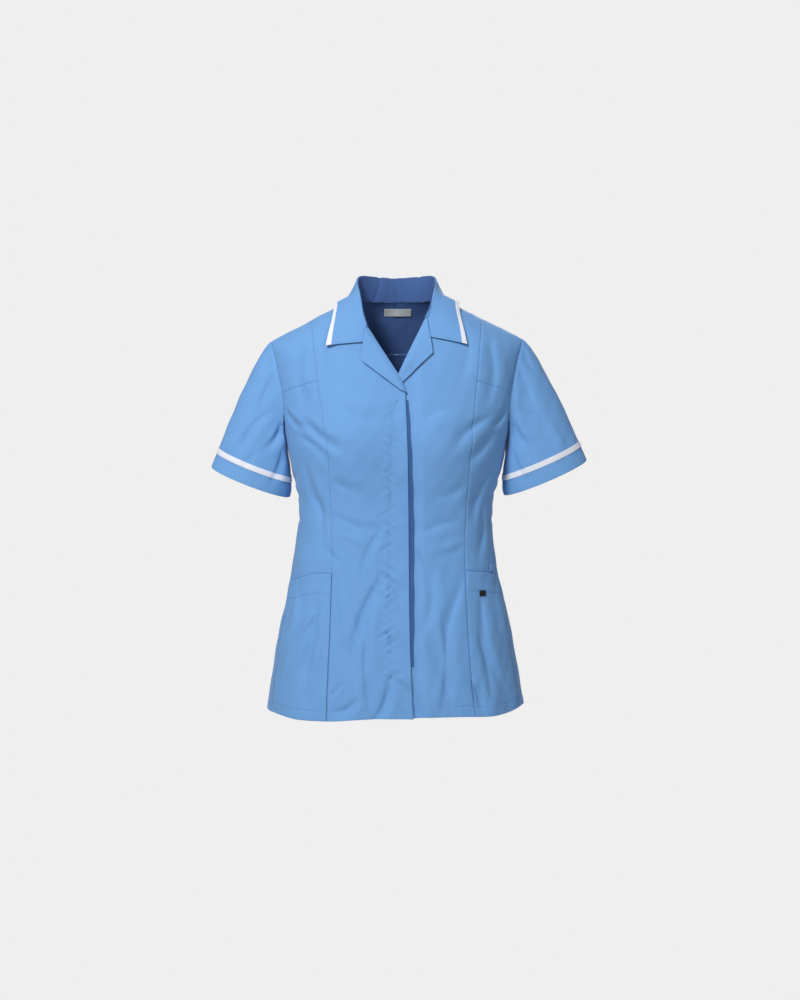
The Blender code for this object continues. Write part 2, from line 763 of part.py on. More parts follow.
def make_back_yoke(frames, colour, parts):
    left_arm, right_arm = unwrap(armhole(1)[1]), unwrap(armhole(-1)[1])
    left, right = left_arm[YOKE_ROWS::-1], right_arm[YOKE_ROWS::-1]
    seam_x_left, seam_x_right = PRINCESS_SEAMS[0][2], PRINCESS_SEAMS[0][1]
    tip_left, tip_right = body(*left[-1])[0], body(*right[-1])[0]
    top = np.concatenate([
        shoulder(tip_left, seam_x_left, CHEST_COLUMNS, -1)[:-1],
        shoulder(seam_x_left, NECK_POINT_X, FRONT_COLUMNS, -1)[:-1],
        neck_back()[::-1],
        shoulder(-NECK_POINT_X, seam_x_right, FRONT_COLUMNS, -1)[1:],
        shoulder(seam_x_right, tip_right, CHEST_COLUMNS, -1)[1:]])
    top = unwrap(top)
    top[0], top[-1] = left[-1], right[-1]
    angle = np.linspace(left[0, 0], right[0, 0], len(top))
    bottom = np.stack([angle, yoke_level(angle, yoke_ends())], axis=-1)
    grid = patch(left, right, bottom, top)
    normals = body_normal(grid[..., 0], grid[..., 1])
    ring_size = len(frames[1]["ring"])
    ring = [(ring_size - k) % ring_size for k in range(YOKE_ROWS, -1, -1)]
    normals[:, 0] = frames[1]["seam_body"][ring]
    normals[:, -1] = frames[-1]["seam_body"][ring]
    return panel("back_yoke", grid, colour, parts, normals)


PLEAT = [
    # way along the back from its middle, depth inwards
    (-34.0, 0.0),
    (-1.2, 0.0),
    (-1.2, 2.7),
    (-18.0, 2.7),
    (-18.0, 5.4),
    (18.0, 5.4),
    (18.0, 2.7),
    (1.2, 2.7),
    (1.2, 0.0),
    (34.0, 0.0),
]


def pleat_profile():
    """Sideways place and depth of the pleat's outer and inner faces, with mitred corners."""
    path = np.array(PLEAT) + np.array([0.0, CLOTH / 2])
    way = unit(np.diff(path, axis=0))
    side = np.stack([way[:, 1], -way[:, 0]], axis=-1)
    before = np.concatenate([side[:1], side])
    after = np.concatenate([side, side[-1:]])
    mitre = (before + after) / (1.0 + np.sum(before * after, axis=-1, keepdims=True))
    return path + mitre * CLOTH / 2, path - mitre * CLOTH / 2


def make_back(frames, colour, parts):
    sides = {}
    for sign in (1, -1):
        arm = armhole(sign)[1]
        sides[sign] = unwrap(np.concatenate([side_seam(sign), arm[-2:YOKE_ROWS - 1:-1]]))
    rows = len(sides[1])
    share = np.linspace(0.0, 1.0, rows)
    hem_middle = float(hem_level(math.pi))
    z = hem_middle + (YOKE_SEAM_LEVEL - hem_middle) * share
    outers, inners = [], []
    for sign in (1, -1):
        middle = unwrap(chart(np.full(rows, -sign * PLEAT[0][0]), z, -1))
        middle[0] = to_hem(middle[0])
        left, right = (sides[1], middle) if sign > 0 else (middle, sides[-1])
        bottom = hem_line(left[0], right[0], BACK_COLUMNS)
        angle = np.linspace(left[-1, 0], right[-1, 0], BACK_COLUMNS + 1)
        top = np.stack([angle, yoke_level(angle, yoke_ends())], axis=-1)
        left[-1], right[-1] = top[0], top[-1]
        grid = patch(left, right, bottom, top)
        normals = body_normal(grid[..., 0], grid[..., 1])
        arm_rows = np.arange(LOWER_ROWS - ARM_LOWER_ROWS, rows)
        ring_size = len(frames[sign]["ring"])
        first = (ring_size - (len(armhole(sign)[1]) - 1))
        ring = [(first + k) % ring_size for k in range(len(arm_rows))]
        normals[arm_rows, 0 if sign > 0 else -1] = frames[sign]["seam_body"][ring]
        points = inset(body(grid[..., 0], grid[..., 1]), SEAM_GAP / 2,
                       (0, 0 if sign > 0 else 1, 1, 1 if sign > 0 else 0))
        outer, inner = wall(points, normals)
        outers.append(outer)
        inners.append(inner)
    face_out, face_in = pleat_profile()
    levels = grid[:, 0, 1].copy()
    levels[-1] -= SEAM_GAP / 2
    folded = []
    for face in (face_out, face_in):
        spots = chart(-face[None, 1:-1, 0], levels[:, None], -1)
        base = body(spots[..., 0], spots[..., 1])
        normals = body_normal(spots[..., 0], spots[..., 1])
        folded.append(base - normals * face[None, 1:-1, 1:])
    outer = np.concatenate([outers[0], folded[0], outers[1]], axis=1)
    inner = np.concatenate([inners[0], folded[1], inners[1]], axis=1)
    return cloth("back", outer, inner, colour, parts)


def sleeve_normal(frame, share, sign):
    step = 0.01
    share = np.broadcast_to(share, (len(share), len(frame["ring"])))
    down = sleeve_surface(frame, share + step) - sleeve_surface(frame, share - step)
    points = sleeve_surface(frame, share)
    around = sign * (np.roll(points, 1, axis=1) - np.roll(points, -1, axis=1))
    return unit(np.cross(down, around))


def ring_order(grid, sign):
    """Rings run to the wearer's left in front."""
    return grid if sign < 0 else grid[:, ::-1]


def make_sleeve(sign, frame, colour, parts):
    share = np.linspace(1.0, 0.0, SLEEVE_ROWS + 1)[:, None]
    points = sleeve_surface(frame, share)
    normals = sleeve_normal(frame, share, sign)
    normals[-1] = frame["seam_sleeve"]
    outer, inner = wall(points, normals)
    name = "sleeve_" + ("right" if sign < 0 else "left")
    return cloth(name, ring_order(outer, sign), ring_order(inner, sign), colour, parts, ring=True)


def make_sleeve_braid(sign, frame, colour, parts):
    length = 0.8 * np.linalg.norm(frame["end"] - frame["start"], axis=-1)
    above = np.array([BRAID_ABOVE_CUFF, BRAID_ABOVE_CUFF + BRAID_WIDTH / 2,
                      BRAID_ABOVE_CUFF + BRAID_WIDTH])
    share = 1.0 - above[:, None] / length[None]
    points = sleeve_surface(frame, share)
    outer, inner = wall(points, sleeve_normal(frame, share, sign), LAYER_GAP + BRAID, BRAID)
    name = "sleeve_braid_" + ("right" if sign < 0 else "left")
    return cloth(name, ring_order(outer, sign), ring_order(inner, sign), colour, parts, ring=True)


# Collar

STAND_ROWS = 3
CREST_ROWS = 3
FALL_ROWS = 7


def collar_half(sign):
    """Middle surface of half of the collar: rows from the neck seam over the crest to the edge.

    Columns run from the front end to the middle of the back.
    """
    mirror = np.array([-sign, 1.0, 1.0])
    neck = np.concatenate([neck_front(sign)[LAPEL_ROWS:], half_neck_back(sign)[1:]])
    share = np.concatenate([np.linspace(0.0, 0.5, NECK_ROWS + 1),
                            np.linspace(0.5, 1.0, NECK_BACK_COLUMNS + 1)[1:]])
    crest = np.stack([smooth(share, column(COLLAR_CREST, 0), column(COLLAR_CREST, k))
                      for k in (1, 2, 3)], axis=-1) * mirror
    edge_x = smooth(share, column(COLLAR_EDGE, 0), column(COLLAR_EDGE, 1)) * -sign
    below = np.interp(share, column(COLLAR_EDGE, 0), column(COLLAR_EDGE, 2))
    edge_z = ridge_level(edge_x) - below
    edge_side = np.where(share < 0.43, 1, -1)
    edge_chart = chart(edge_x, edge_z, edge_side)
    edge = body(edge_chart[:, 0], edge_chart[:, 1])
    seam_normal = body_normal(neck[:, 0], neck[:, 1])
    tangent = np.gradient(body(neck[:, 0], neck[:, 1]), axis=0)
    into_neck = unit(np.cross(tangent, seam_normal)) * -sign
    seam = (body(neck[:, 0], neck[:, 1]) - seam_normal * CLOTH / 2
            + into_neck * (SEAM_GAP + 0.5))
    lift = ease((0.34 - share) / 0.34)[:, None]
    crest = crest * (1 - lift) + (seam + seam_normal * 5.2) * lift
    up = unit(crest - seam)
    away = edge - crest
    away = unit(away - np.sum(away * up, axis=-1, keepdims=True) * up)
    rows = []
    top = crest - up * COLLAR_ROLL - away * COLLAR_ROLL
    for k in range(STAND_ROWS):
        share_up = k / STAND_ROWS
        rows.append(seam + (top - seam) * share_up + into_neck * 0.7 * math.sin(math.pi * share_up))
    for k in range(CREST_ROWS + 1):
        turn = math.pi * k / CREST_ROWS
        rows.append(crest - up * COLLAR_ROLL * (1 - math.sin(turn))
                    - away * COLLAR_ROLL * math.cos(turn))
    start = rest_on_body(rows.pop(), CLOTH / 2 + COLLAR_CLEAR)
    rows.append(start)
    length = np.linalg.norm(edge - start, axis=-1)[:, None]
    trim = 1.0 - TRIM_WIDTH / length
    notch_chart = chart(*(COLLAR_NOTCH_RIGHT if sign < 0 else COLLAR_NOTCH_LEFT))
    notch = body(notch_chart[0], notch_chart[1])
    bend = notch - (start[0] + (edge[0] - start[0]) * 0.34)
    fade = ((1.0 - np.clip(share / 0.3, 0.0, 1.0)) ** 2)[:, None]
    for k in range(1, FALL_ROWS + 1):
        w = trim * k / (FALL_ROWS - 1) if k < FALL_ROWS else np.ones_like(trim)
        hump = np.interp(w, [0.0, 0.34, 1.0], [0.0, 1.0, 0.0])
        points = start + (edge - start) * w + bend * hump * fade
        off_ridge = (points[:, 1] - RIDGE_LIFT["y"]) / RIDGE_LIFT["reach"]
        lift = RIDGE_LIFT["height"] * np.exp(-off_ridge ** 2)
        rows.append(rest_on_body(points, CLOTH / 2 + COLLAR_CLEAR + lift))
    return np.array(rows), -seam_normal


def half_neck_back(sign):
    """Chart points of half of the back neck seam, from the shoulder to the middle."""
    line = neck_back()
    return line[:NECK_BACK_COLUMNS + 1] if sign < 0 else line[:NECK_BACK_COLUMNS - 1:-1]


def collar_surface():
    right, right_seam = collar_half(-1)
    left, left_seam = collar_half(1)
    middle = np.concatenate([right, left[:, -2::-1]], axis=1)
    normals = grid_normals(middle)
    normals[0] = np.concatenate([right_seam, left_seam[-2::-1]])
    return middle, normals


def make_collar(colours, parts):
    middle, normals = collar_surface()
    outer, inner = wall(middle, normals, CLOTH / 2)
    outer = inset(outer, 0.5, (0, 1, 0, 1))
    inner = inset(inner, 0.5, (0, 1, 0, 1))
    cloth("collar", outer, inner, colours["blue"], parts)
    braid, hidden = wall(middle[-2:], normals[-2:], CLOTH / 2 + LAYER_GAP + BRAID, BRAID)
    cloth("collar_trim", inset(braid, 0.5, (0, 1, 0, 1)), inset(hidden, 0.5, (0, 1, 0, 1)),
          colours["white"], parts)


# Pieces that lie on the panels

def make_lapel(sign, colour, parts):
    rows, columns = 11, 5
    v = np.linspace(0.0, 1.0, rows)
    if sign < 0:
        free = along(LAPEL_EDGE_RIGHT[::-1], v)
        roll = along([(front_edge_x(BREAK_LEVEL) - 1.0, BREAK_LEVEL + 3.0), (V_X, V_LEVEL),
                      GORGE_RIGHT], v)
        left, right = free, roll
    else:
        free = along(LAPEL_EDGE_LEFT[::-1], v)
        roll = along([(V_X + 2.5, V_LEVEL), GORGE_LEFT], v)
        left, right = roll, free
    u = np.linspace(0.0, 1.0, columns)
    flat = patch(left, right, np.linspace(left[0], right[0], columns),
                 np.linspace(left[-1], right[-1], columns))
    grid = chart(flat[..., 0], flat[..., 1])
    from_roll = u if sign > 0 else 1.0 - u
    width = np.linalg.norm(left - right, axis=-1)[:, None]
    swell = np.minimum(width * 0.12, 2.6) * np.sin(math.pi * np.sqrt(from_roll))[None] ** 1.0
    sink = left_sink(flat[..., 0], flat[..., 1]) if sign > 0 else 0.0
    outside = CLOTH + LAYER_GAP + np.abs(swell) + sink
    name = "lapel_" + ("right" if sign < 0 else "left")
    points = inset(body(grid[..., 0], grid[..., 1]), 1.2, (0, 0, 1, 0))
    outer, inner = wall(points, body_normal(grid[..., 0], grid[..., 1]), outside)
    return cloth(name, outer, inner, colour, parts)


def make_fly_strip(colour, parts):
    panel_rows = HEM_LOWEST + (BREAK_LEVEL - HEM_LOWEST) * np.linspace(0.0, 1.0, LOWER_ROWS + 1)
    within = (panel_rows > FLY_STRIP["bottom"] + 4.0) & (panel_rows < FLY_STRIP["top"] - 4.0)
    z = np.concatenate([[FLY_STRIP["bottom"]], panel_rows[within], [FLY_STRIP["top"]]])
    edge = front_edge_x(z)
    x = edge[:, None] + np.linspace(-FLY_STRIP["under"], FLY_STRIP["beyond"], 4)[None]
    grid = chart(x, z[:, None])
    return panel("fly_strip", grid, colour, parts, outside=-CLOTH - FLY_GAP, thickness=BRAID, gap=0.0)


def make_pocket(sign, colour, parts):
    side = "right" if sign < 0 else "left"
    v = np.linspace(0.0, 1.0, 9)
    edges = []
    tops = column(POCKET_TOP, 1)
    for line, top in ((princess(sign), tops[0]), (side_seam(sign), tops[-1])):
        start = float(line[0, 1]) + POCKET_HEM_CLEAR
        z = start + (top - start) * v
        edges.append(np.stack([np.interp(z, line[:, 1], line[:, 0]), z], axis=-1))
    seam, outer = edges
    share = np.linspace(0.0, 1.0, SIDE_COLUMNS + 1)
    levels = smooth(share, column(POCKET_TOP, 0), tops)
    top = np.stack([seam[-1, 0] + (outer[-1, 0] - seam[-1, 0]) * share, levels], axis=-1)
    angles = seam[0, 0] + (outer[0, 0] - seam[0, 0]) * share
    bottom = np.stack([angles, hem_level(angles) + POCKET_HEM_CLEAR], axis=-1)
    seam[0], outer[0] = bottom[0], bottom[-1]
    if sign < 0:
        grid = patch(outer, seam, bottom[::-1], top[::-1])
    else:
        grid = patch(seam, outer, bottom, top)
    return panel("pocket_" + side, grid, colour, parts, outside=CLOTH + LOOSE_GAP, gap=0.6)


def make_tab(name, place, colour, parts, outside, thickness=BRAID, side=1, columns=3, rows=3):
    """A small strip that lies on the body's surface, or inside it when outside is negative."""
    x = place["x"] + place["width"] * np.linspace(-0.5, 0.5, columns)
    z = place["top"] + place["length"] * np.linspace(-1.0, 0.0, rows)
    grid = chart(x[None, ::side], z[:, None], side)
    return panel(name, unwrap(grid) if side < 0 else grid, colour, parts, outside=outside,
                 thickness=thickness, gap=0.0)


def build():
    for obj in list(bpy.data.objects):
        bpy.data.objects.remove(obj, do_unlink=True)
    parts = bpy.data.collections.new("work_tunic")
    bpy.context.scene.collection.children.link(parts)
    colours = colour_set()
    frames = {sign: sleeve_frame(sign) for sign in (-1, 1)}
    for sign in (-1, 1):
        make_front(sign, colours["blue"], parts)
        make_side_front(sign, frames[sign], colours["blue"], parts)
        make_chest(sign, frames[sign], colours["blue"], parts)
        make_sleeve(sign, frames[sign], colours["blue"], parts)
        make_sleeve_braid(sign, frames[sign], colours["white"], parts)
        make_lapel(sign, colours["blue"], parts)
        make_pocket(sign, colours["blue"], parts)
    make_back_yoke(frames, colours["blue"], parts)
    make_back(frames, colours["blue"], parts)
    make_collar(colours, parts)
    make_fly_strip(colours["blue"], parts)
    make_tab("pen_loop", PEN_LOOP, colours["blue"], parts, LOOSE_GAP + BRAID)
    make_tab("pocket_label", POCKET_LABEL, colours["black"], parts,
             CLOTH + LOOSE_GAP + LAYER_GAP + BRAID)
    make_tab("neck_label", NECK_LABEL, colours["grey"], parts, -CLOTH - LOOSE_GAP, side=-1,
             columns=5)


build()
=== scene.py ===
import math

import bpy
import numpy as np
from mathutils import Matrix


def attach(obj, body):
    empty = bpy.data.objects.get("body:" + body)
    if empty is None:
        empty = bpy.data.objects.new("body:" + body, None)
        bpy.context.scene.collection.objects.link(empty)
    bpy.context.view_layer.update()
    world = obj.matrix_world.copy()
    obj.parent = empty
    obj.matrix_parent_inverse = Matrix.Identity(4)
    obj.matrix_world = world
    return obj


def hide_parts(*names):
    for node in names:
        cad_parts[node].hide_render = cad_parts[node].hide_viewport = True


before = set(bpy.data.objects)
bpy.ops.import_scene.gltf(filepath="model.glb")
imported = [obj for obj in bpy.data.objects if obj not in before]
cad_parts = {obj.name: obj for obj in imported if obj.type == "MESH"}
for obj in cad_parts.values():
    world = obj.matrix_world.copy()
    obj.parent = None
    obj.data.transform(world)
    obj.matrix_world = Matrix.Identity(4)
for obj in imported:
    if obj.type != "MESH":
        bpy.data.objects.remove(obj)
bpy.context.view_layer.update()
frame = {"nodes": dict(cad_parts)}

cloth = {
    "thickness": 1.0,        # one layer of 190 g/m2 twill, drawn a little full
    "turnedEdge": 1.9,       # where a hem is turned up inside
    "seamGap": 0.12,         # half of the line between two pieces
    "seamDip": 0.75, "seamReach": 1.5,
    "hemDepth": 16.5,        # from the hem's edge up to its sewing
    "perDegree": 3.0,        # millimetres round the body for a degree of its angle, roughly
}
waveTurn = 6.283     # radians in one wave of the ripples and puckers


# Numbers

# One column of a table, as numbers
def column(rows, index):
    return np.array([row[index] for row in rows], float)


# Hermite cubic through a table, its slopes from the neighbours
def smooth(x, xs, ys):
    order = np.argsort(xs)
    xs, ys = np.asarray(xs, float)[order], np.asarray(ys, float)[order]
    slope = np.gradient(ys, xs)
    x = np.clip(np.asarray(x, float), xs[0], xs[-1])
    i = np.clip(np.searchsorted(xs, x) - 1, 0, len(xs) - 2)
    step = xs[i + 1] - xs[i]
    u = (x - xs[i]) / step
    return (ys[i] * (2 * u ** 3 - 3 * u ** 2 + 1) + ys[i + 1] * (3 * u ** 2 - 2 * u ** 3)
            + slope[i] * step * (u ** 3 - 2 * u ** 2 + u)
            + slope[i + 1] * step * (u ** 3 - u ** 2))


# A table's column k, read at values of its first column
def tableAt(table, x, k=1):
    return smooth(x, column(table, 0), column(table, k))


# 3u^2 - 2u^3, held between 0 and 1
def ease(u):
    u = np.clip(u, 0.0, 1.0)
    return u * u * (3.0 - 2.0 * u)


# v / |v| along the last axis
def unit(v):
    return v / np.maximum(np.linalg.norm(v, axis=-1, keepdims=True), 1e-12)


# Sum of the steps' lengths along one axis of a line or grid, from 0 at its start
def running(points, axis=0):
    steps = np.linalg.norm(np.diff(points, axis=axis), axis=-1)
    start = np.zeros_like(steps[:1] if axis == 0 else steps[:, :1])
    return np.concatenate([start, np.cumsum(steps, axis=axis)], axis=axis)


# Points at shares of a polyline's length
def along(points, shares):
    points = np.asarray(points, float)
    run = running(points)
    return np.stack([np.interp(np.asarray(shares) * run[-1], run, points[:, k])
                     for k in range(points.shape[1])], axis=-1)


# Rows of values read between their places, which may be fractions
def readAt(rows, places):
    rows = np.asarray(rows, float)
    places = np.clip(places, 0, len(rows) - 1)
    low = np.minimum(np.floor(places).astype(int), len(rows) - 2)
    part = (places - low)[:, None]
    return rows[low] * (1 - part) + rows[low + 1] * part


# Shares from 0 to 1 in equal steps, with closer ones at millimetres given from both ends
def graded(count, size, start=(0.5, 1.1, 2.0, 3.2), end=(0.5, 1.1, 2.0, 3.2)):
    plain = np.linspace(0.0, 1.0, count + 1)
    low, high = np.array(start) / size, 1.0 - np.array(end)[::-1] / size
    first, last = (max(start) if start else 0.0) / size, 1.0 - (max(end) if end else 0.0) / size
    step = 0.4 / count
    keep = plain[(plain > first + step) & (plain < last - step)]
    return np.concatenate([[0.0], low, keep, high, [1.0]])


# The body's surface: an angle round it (0 in front, pi behind) and a level

shape = {
    "neckPointX": 68.0, "ridgeApex": 35.4, "slopeRight": 0.521, "slopeLeft": 0.4997,
    "dome": 60.0, "squareness": 2.4, "backNeckLevel": -4.0, "fluteRadius": 150.0,
    # level, half_right, half_left, front, back
    "sections": [
        (40.0, 230.0, 230.0, 45.0, 50.0),
        (0.0, 230.0, 230.0, 54.0, 56.0),
        (-30.0, 229.0, 229.0, 66.0, 66.0),
        (-75.0, 221.0, 221.0, 86.0, 84.0),
        (-107.0, 211.5, 211.5, 97.0, 95.0),
        (-134.0, 207.0, 207.0, 105.0, 102.0),
        (-167.0, 202.5, 202.5, 112.0, 107.0),
        (-200.0, 197.5, 197.5, 118.0, 109.0),
        (-240.0, 188.5, 188.5, 121.0, 108.0),
        (-264.0, 183.5, 183.5, 121.0, 106.0),
        (-311.0, 173.5, 173.0, 118.0, 99.0),
        (-345.0, 166.0, 163.5, 115.0, 93.0),
        (-380.0, 166.0, 162.5, 114.0, 91.0),
        (-420.0, 171.5, 165.0, 115.0, 94.0),
        (-461.0, 177.5, 171.0, 118.0, 101.0),
        (-515.0, 187.0, 182.5, 125.0, 114.0),
        (-569.0, 199.0, 194.0, 132.0, 126.0),
        (-624.0, 207.0, 203.0, 138.0, 134.0),
        (-678.0, 215.0, 211.5, 143.0, 139.0),
        (-740.0, 221.0, 218.0, 147.0, 143.0),
    ],
    # x, level, radius, height, front (1) or back (-1)
    "mounds": [(86.0, -250.0, 46.0, 13.0, 1), (80.0, -165.0, 50.0, 7.0, -1)],
    # angle_deg, top_level, width, height
    "flutes": [
        (-12.0, -520.0, 16.0, 1.5), (-33.0, -480.0, 15.0, -3.0), (-45.0, -500.0, 20.0, 2.5),
        (-66.0, -470.0, 24.0, -3.0), (-96.0, -430.0, 26.0, 3.0), (-122.0, -400.0, 30.0, -4.0),
        (-148.0, -430.0, 28.0, 4.0), (24.0, -540.0, 16.0, -2.0), (41.0, -500.0, 16.0, 2.5),
        (58.0, -470.0, 22.0, -3.0), (88.0, -440.0, 26.0, 2.5), (114.0, -400.0, 28.0, -4.0),
        (140.0, -440.0, 30.0, 4.0),
    ],
    # angle_deg, level
    "hem": [
        (-180.0, -700.0), (-150.0, -702.0), (-120.0, -700.0), (-90.0, -696.5), (-75.0, -698.0),
        (-55.0, -700.5), (-40.0, -703.0), (-25.0, -702.5), (-12.0, -698.5), (0.0, -696.0),
        (25.0, -695.5), (45.0, -697.0), (60.0, -694.5), (75.0, -689.0), (90.0, -688.0),
        (120.0, -693.0), (150.0, -698.0), (180.0, -700.0),
    ],
}
hemLowest = min(level for _, level in shape["hem"])


# Steepness of the shoulder line on the side where x lies
def ridgeSlope(x):
    return np.where(np.asarray(x) < 0.0, shape["slopeRight"], shape["slopeLeft"])


# Straight lines falling to both sides of an apex between the shoulders
def ridgeLevel(x):
    return shape["ridgeApex"] - np.abs(x) * ridgeSlope(x)


# Half of the width at a level, read from the sections, on the left or the right
def halfWidth(z, left):
    return np.where(left, tableAt(shape["sections"], z, 2), tableAt(shape["sections"], z, 1))


# depth(z) * (1 - |x/w|^n)^(1/n), with soft mounds for the bust and the shoulder blades
def reach(x, z, side):
    sections, n = shape["sections"], shape["squareness"]
    depth = np.where(side > 0, tableAt(sections, z, 3), tableAt(sections, z, 4))
    across = np.clip(np.abs(x) / halfWidth(z, x >= 0.0), 0.0, 1.0)
    for moundX, level, radius, height, where in shape["mounds"]:
        r2 = (np.abs(x) - moundX) ** 2 + (z - level) ** 2
        depth = depth + np.where(side == where, height * np.exp(-r2 / (2 * radius ** 2)), 0.0)
    return depth * (1.0 - across ** n) ** (1.0 / n)


# x = w*sin(a)^(2/n), y from reach(), drawn together over the shoulders, plus the hem's flutes
def body(angle, z):
    angle, z = np.broadcast_arrays(np.asarray(angle, float), np.asarray(z, float))
    half = halfWidth(z, np.sin(angle) >= 0.0)
    x = half * np.sign(np.sin(angle)) * np.abs(np.sin(angle)) ** (2.0 / shape["squareness"])
    side = np.where(np.cos(angle) >= 0.0, 1, -1)
    rise = np.clip((ridgeLevel(x) - z) / shape["dome"], 0.0, 1.0)
    y = -side * reach(x, z, side) * np.sqrt(1.0 - (1.0 - rise) ** 2)
    out = np.zeros_like(x)
    for angleDeg, top, width, height in shape["flutes"]:
        turn = np.remainder(angle - math.radians(angleDeg) + math.pi, 2 * math.pi) - math.pi
        off = turn * shape["fluteRadius"] / width
        out += height * np.exp(-off ** 2) * ease((z - top) / (hemLowest - top))
    return np.stack([x + out * np.sin(angle), y - out * np.cos(angle), z], axis=-1)


# Cross product of the surface's two slopes; square to the ridge on the shoulder line
def bodyNormal(angle, z):
    turn, drop = 2e-3, 0.05
    across = body(angle + turn, z) - body(angle - turn, z)
    down = body(angle, z - drop) - body(angle, z)
    normal = unit(np.cross(down, across))
    x = body(angle, z)[..., 0]
    onRidge = (ridgeLevel(x) - z < 0.2) & (np.abs(x) > shape["neckPointX"] - 1.0)
    ridge = unit(np.stack([np.sign(x) * ridgeSlope(x), np.zeros_like(x), np.ones_like(x)], axis=-1))
    return np.where(onRidge[..., None], ridge, normal)


# A grid's points on the body and their normals
def bodyAt(grid):
    return body(grid[..., 0], grid[..., 1]), bodyNormal(grid[..., 0], grid[..., 1])


# The angle whose point has this x at this level, in front (1) or behind (-1)
def chart(x, z, side=1):
    x, z = np.broadcast_arrays(np.asarray(x, float), np.asarray(z, float))
    share = np.clip(np.abs(x) / halfWidth(z, x >= 0.0), 0.0, 1.0)
    angle = np.arcsin(share ** (shape["squareness"] / 2.0))
    angle = np.where(np.asarray(side) > 0, angle, math.pi - angle)
    return np.stack([np.where(x < 0.0, -angle, angle), z], axis=-1)


# Points are pushed along the slope of the body's depth until they clear it
def restOnBody(points, clearance):
    def depthShare(p):
        side = np.where(p[..., 1] <= 0.0, 1, -1)
        rise = np.minimum((ridgeLevel(p[..., 0]) - p[..., 2]) / shape["dome"], 1.0)
        span = np.maximum(reach(p[..., 0], p[..., 2], side), 1.0)
        return np.sqrt((p[..., 1] / span) ** 2 + (1.0 - rise) ** 2)

    step = 0.2
    for _ in range(4):
        value = depthShare(points)
        slope = np.stack([(depthShare(points + step * axis) - depthShare(points - step * axis))
                          / (2 * step) for axis in np.eye(3)], axis=-1)
        size = np.maximum(np.linalg.norm(slope, axis=-1), 1e-3)
        short = np.clip(clearance - (value - 1.0) / size, 0.0, 6.0)
        points = points + slope / size[..., None] * short[..., None]
    return points


# Creases

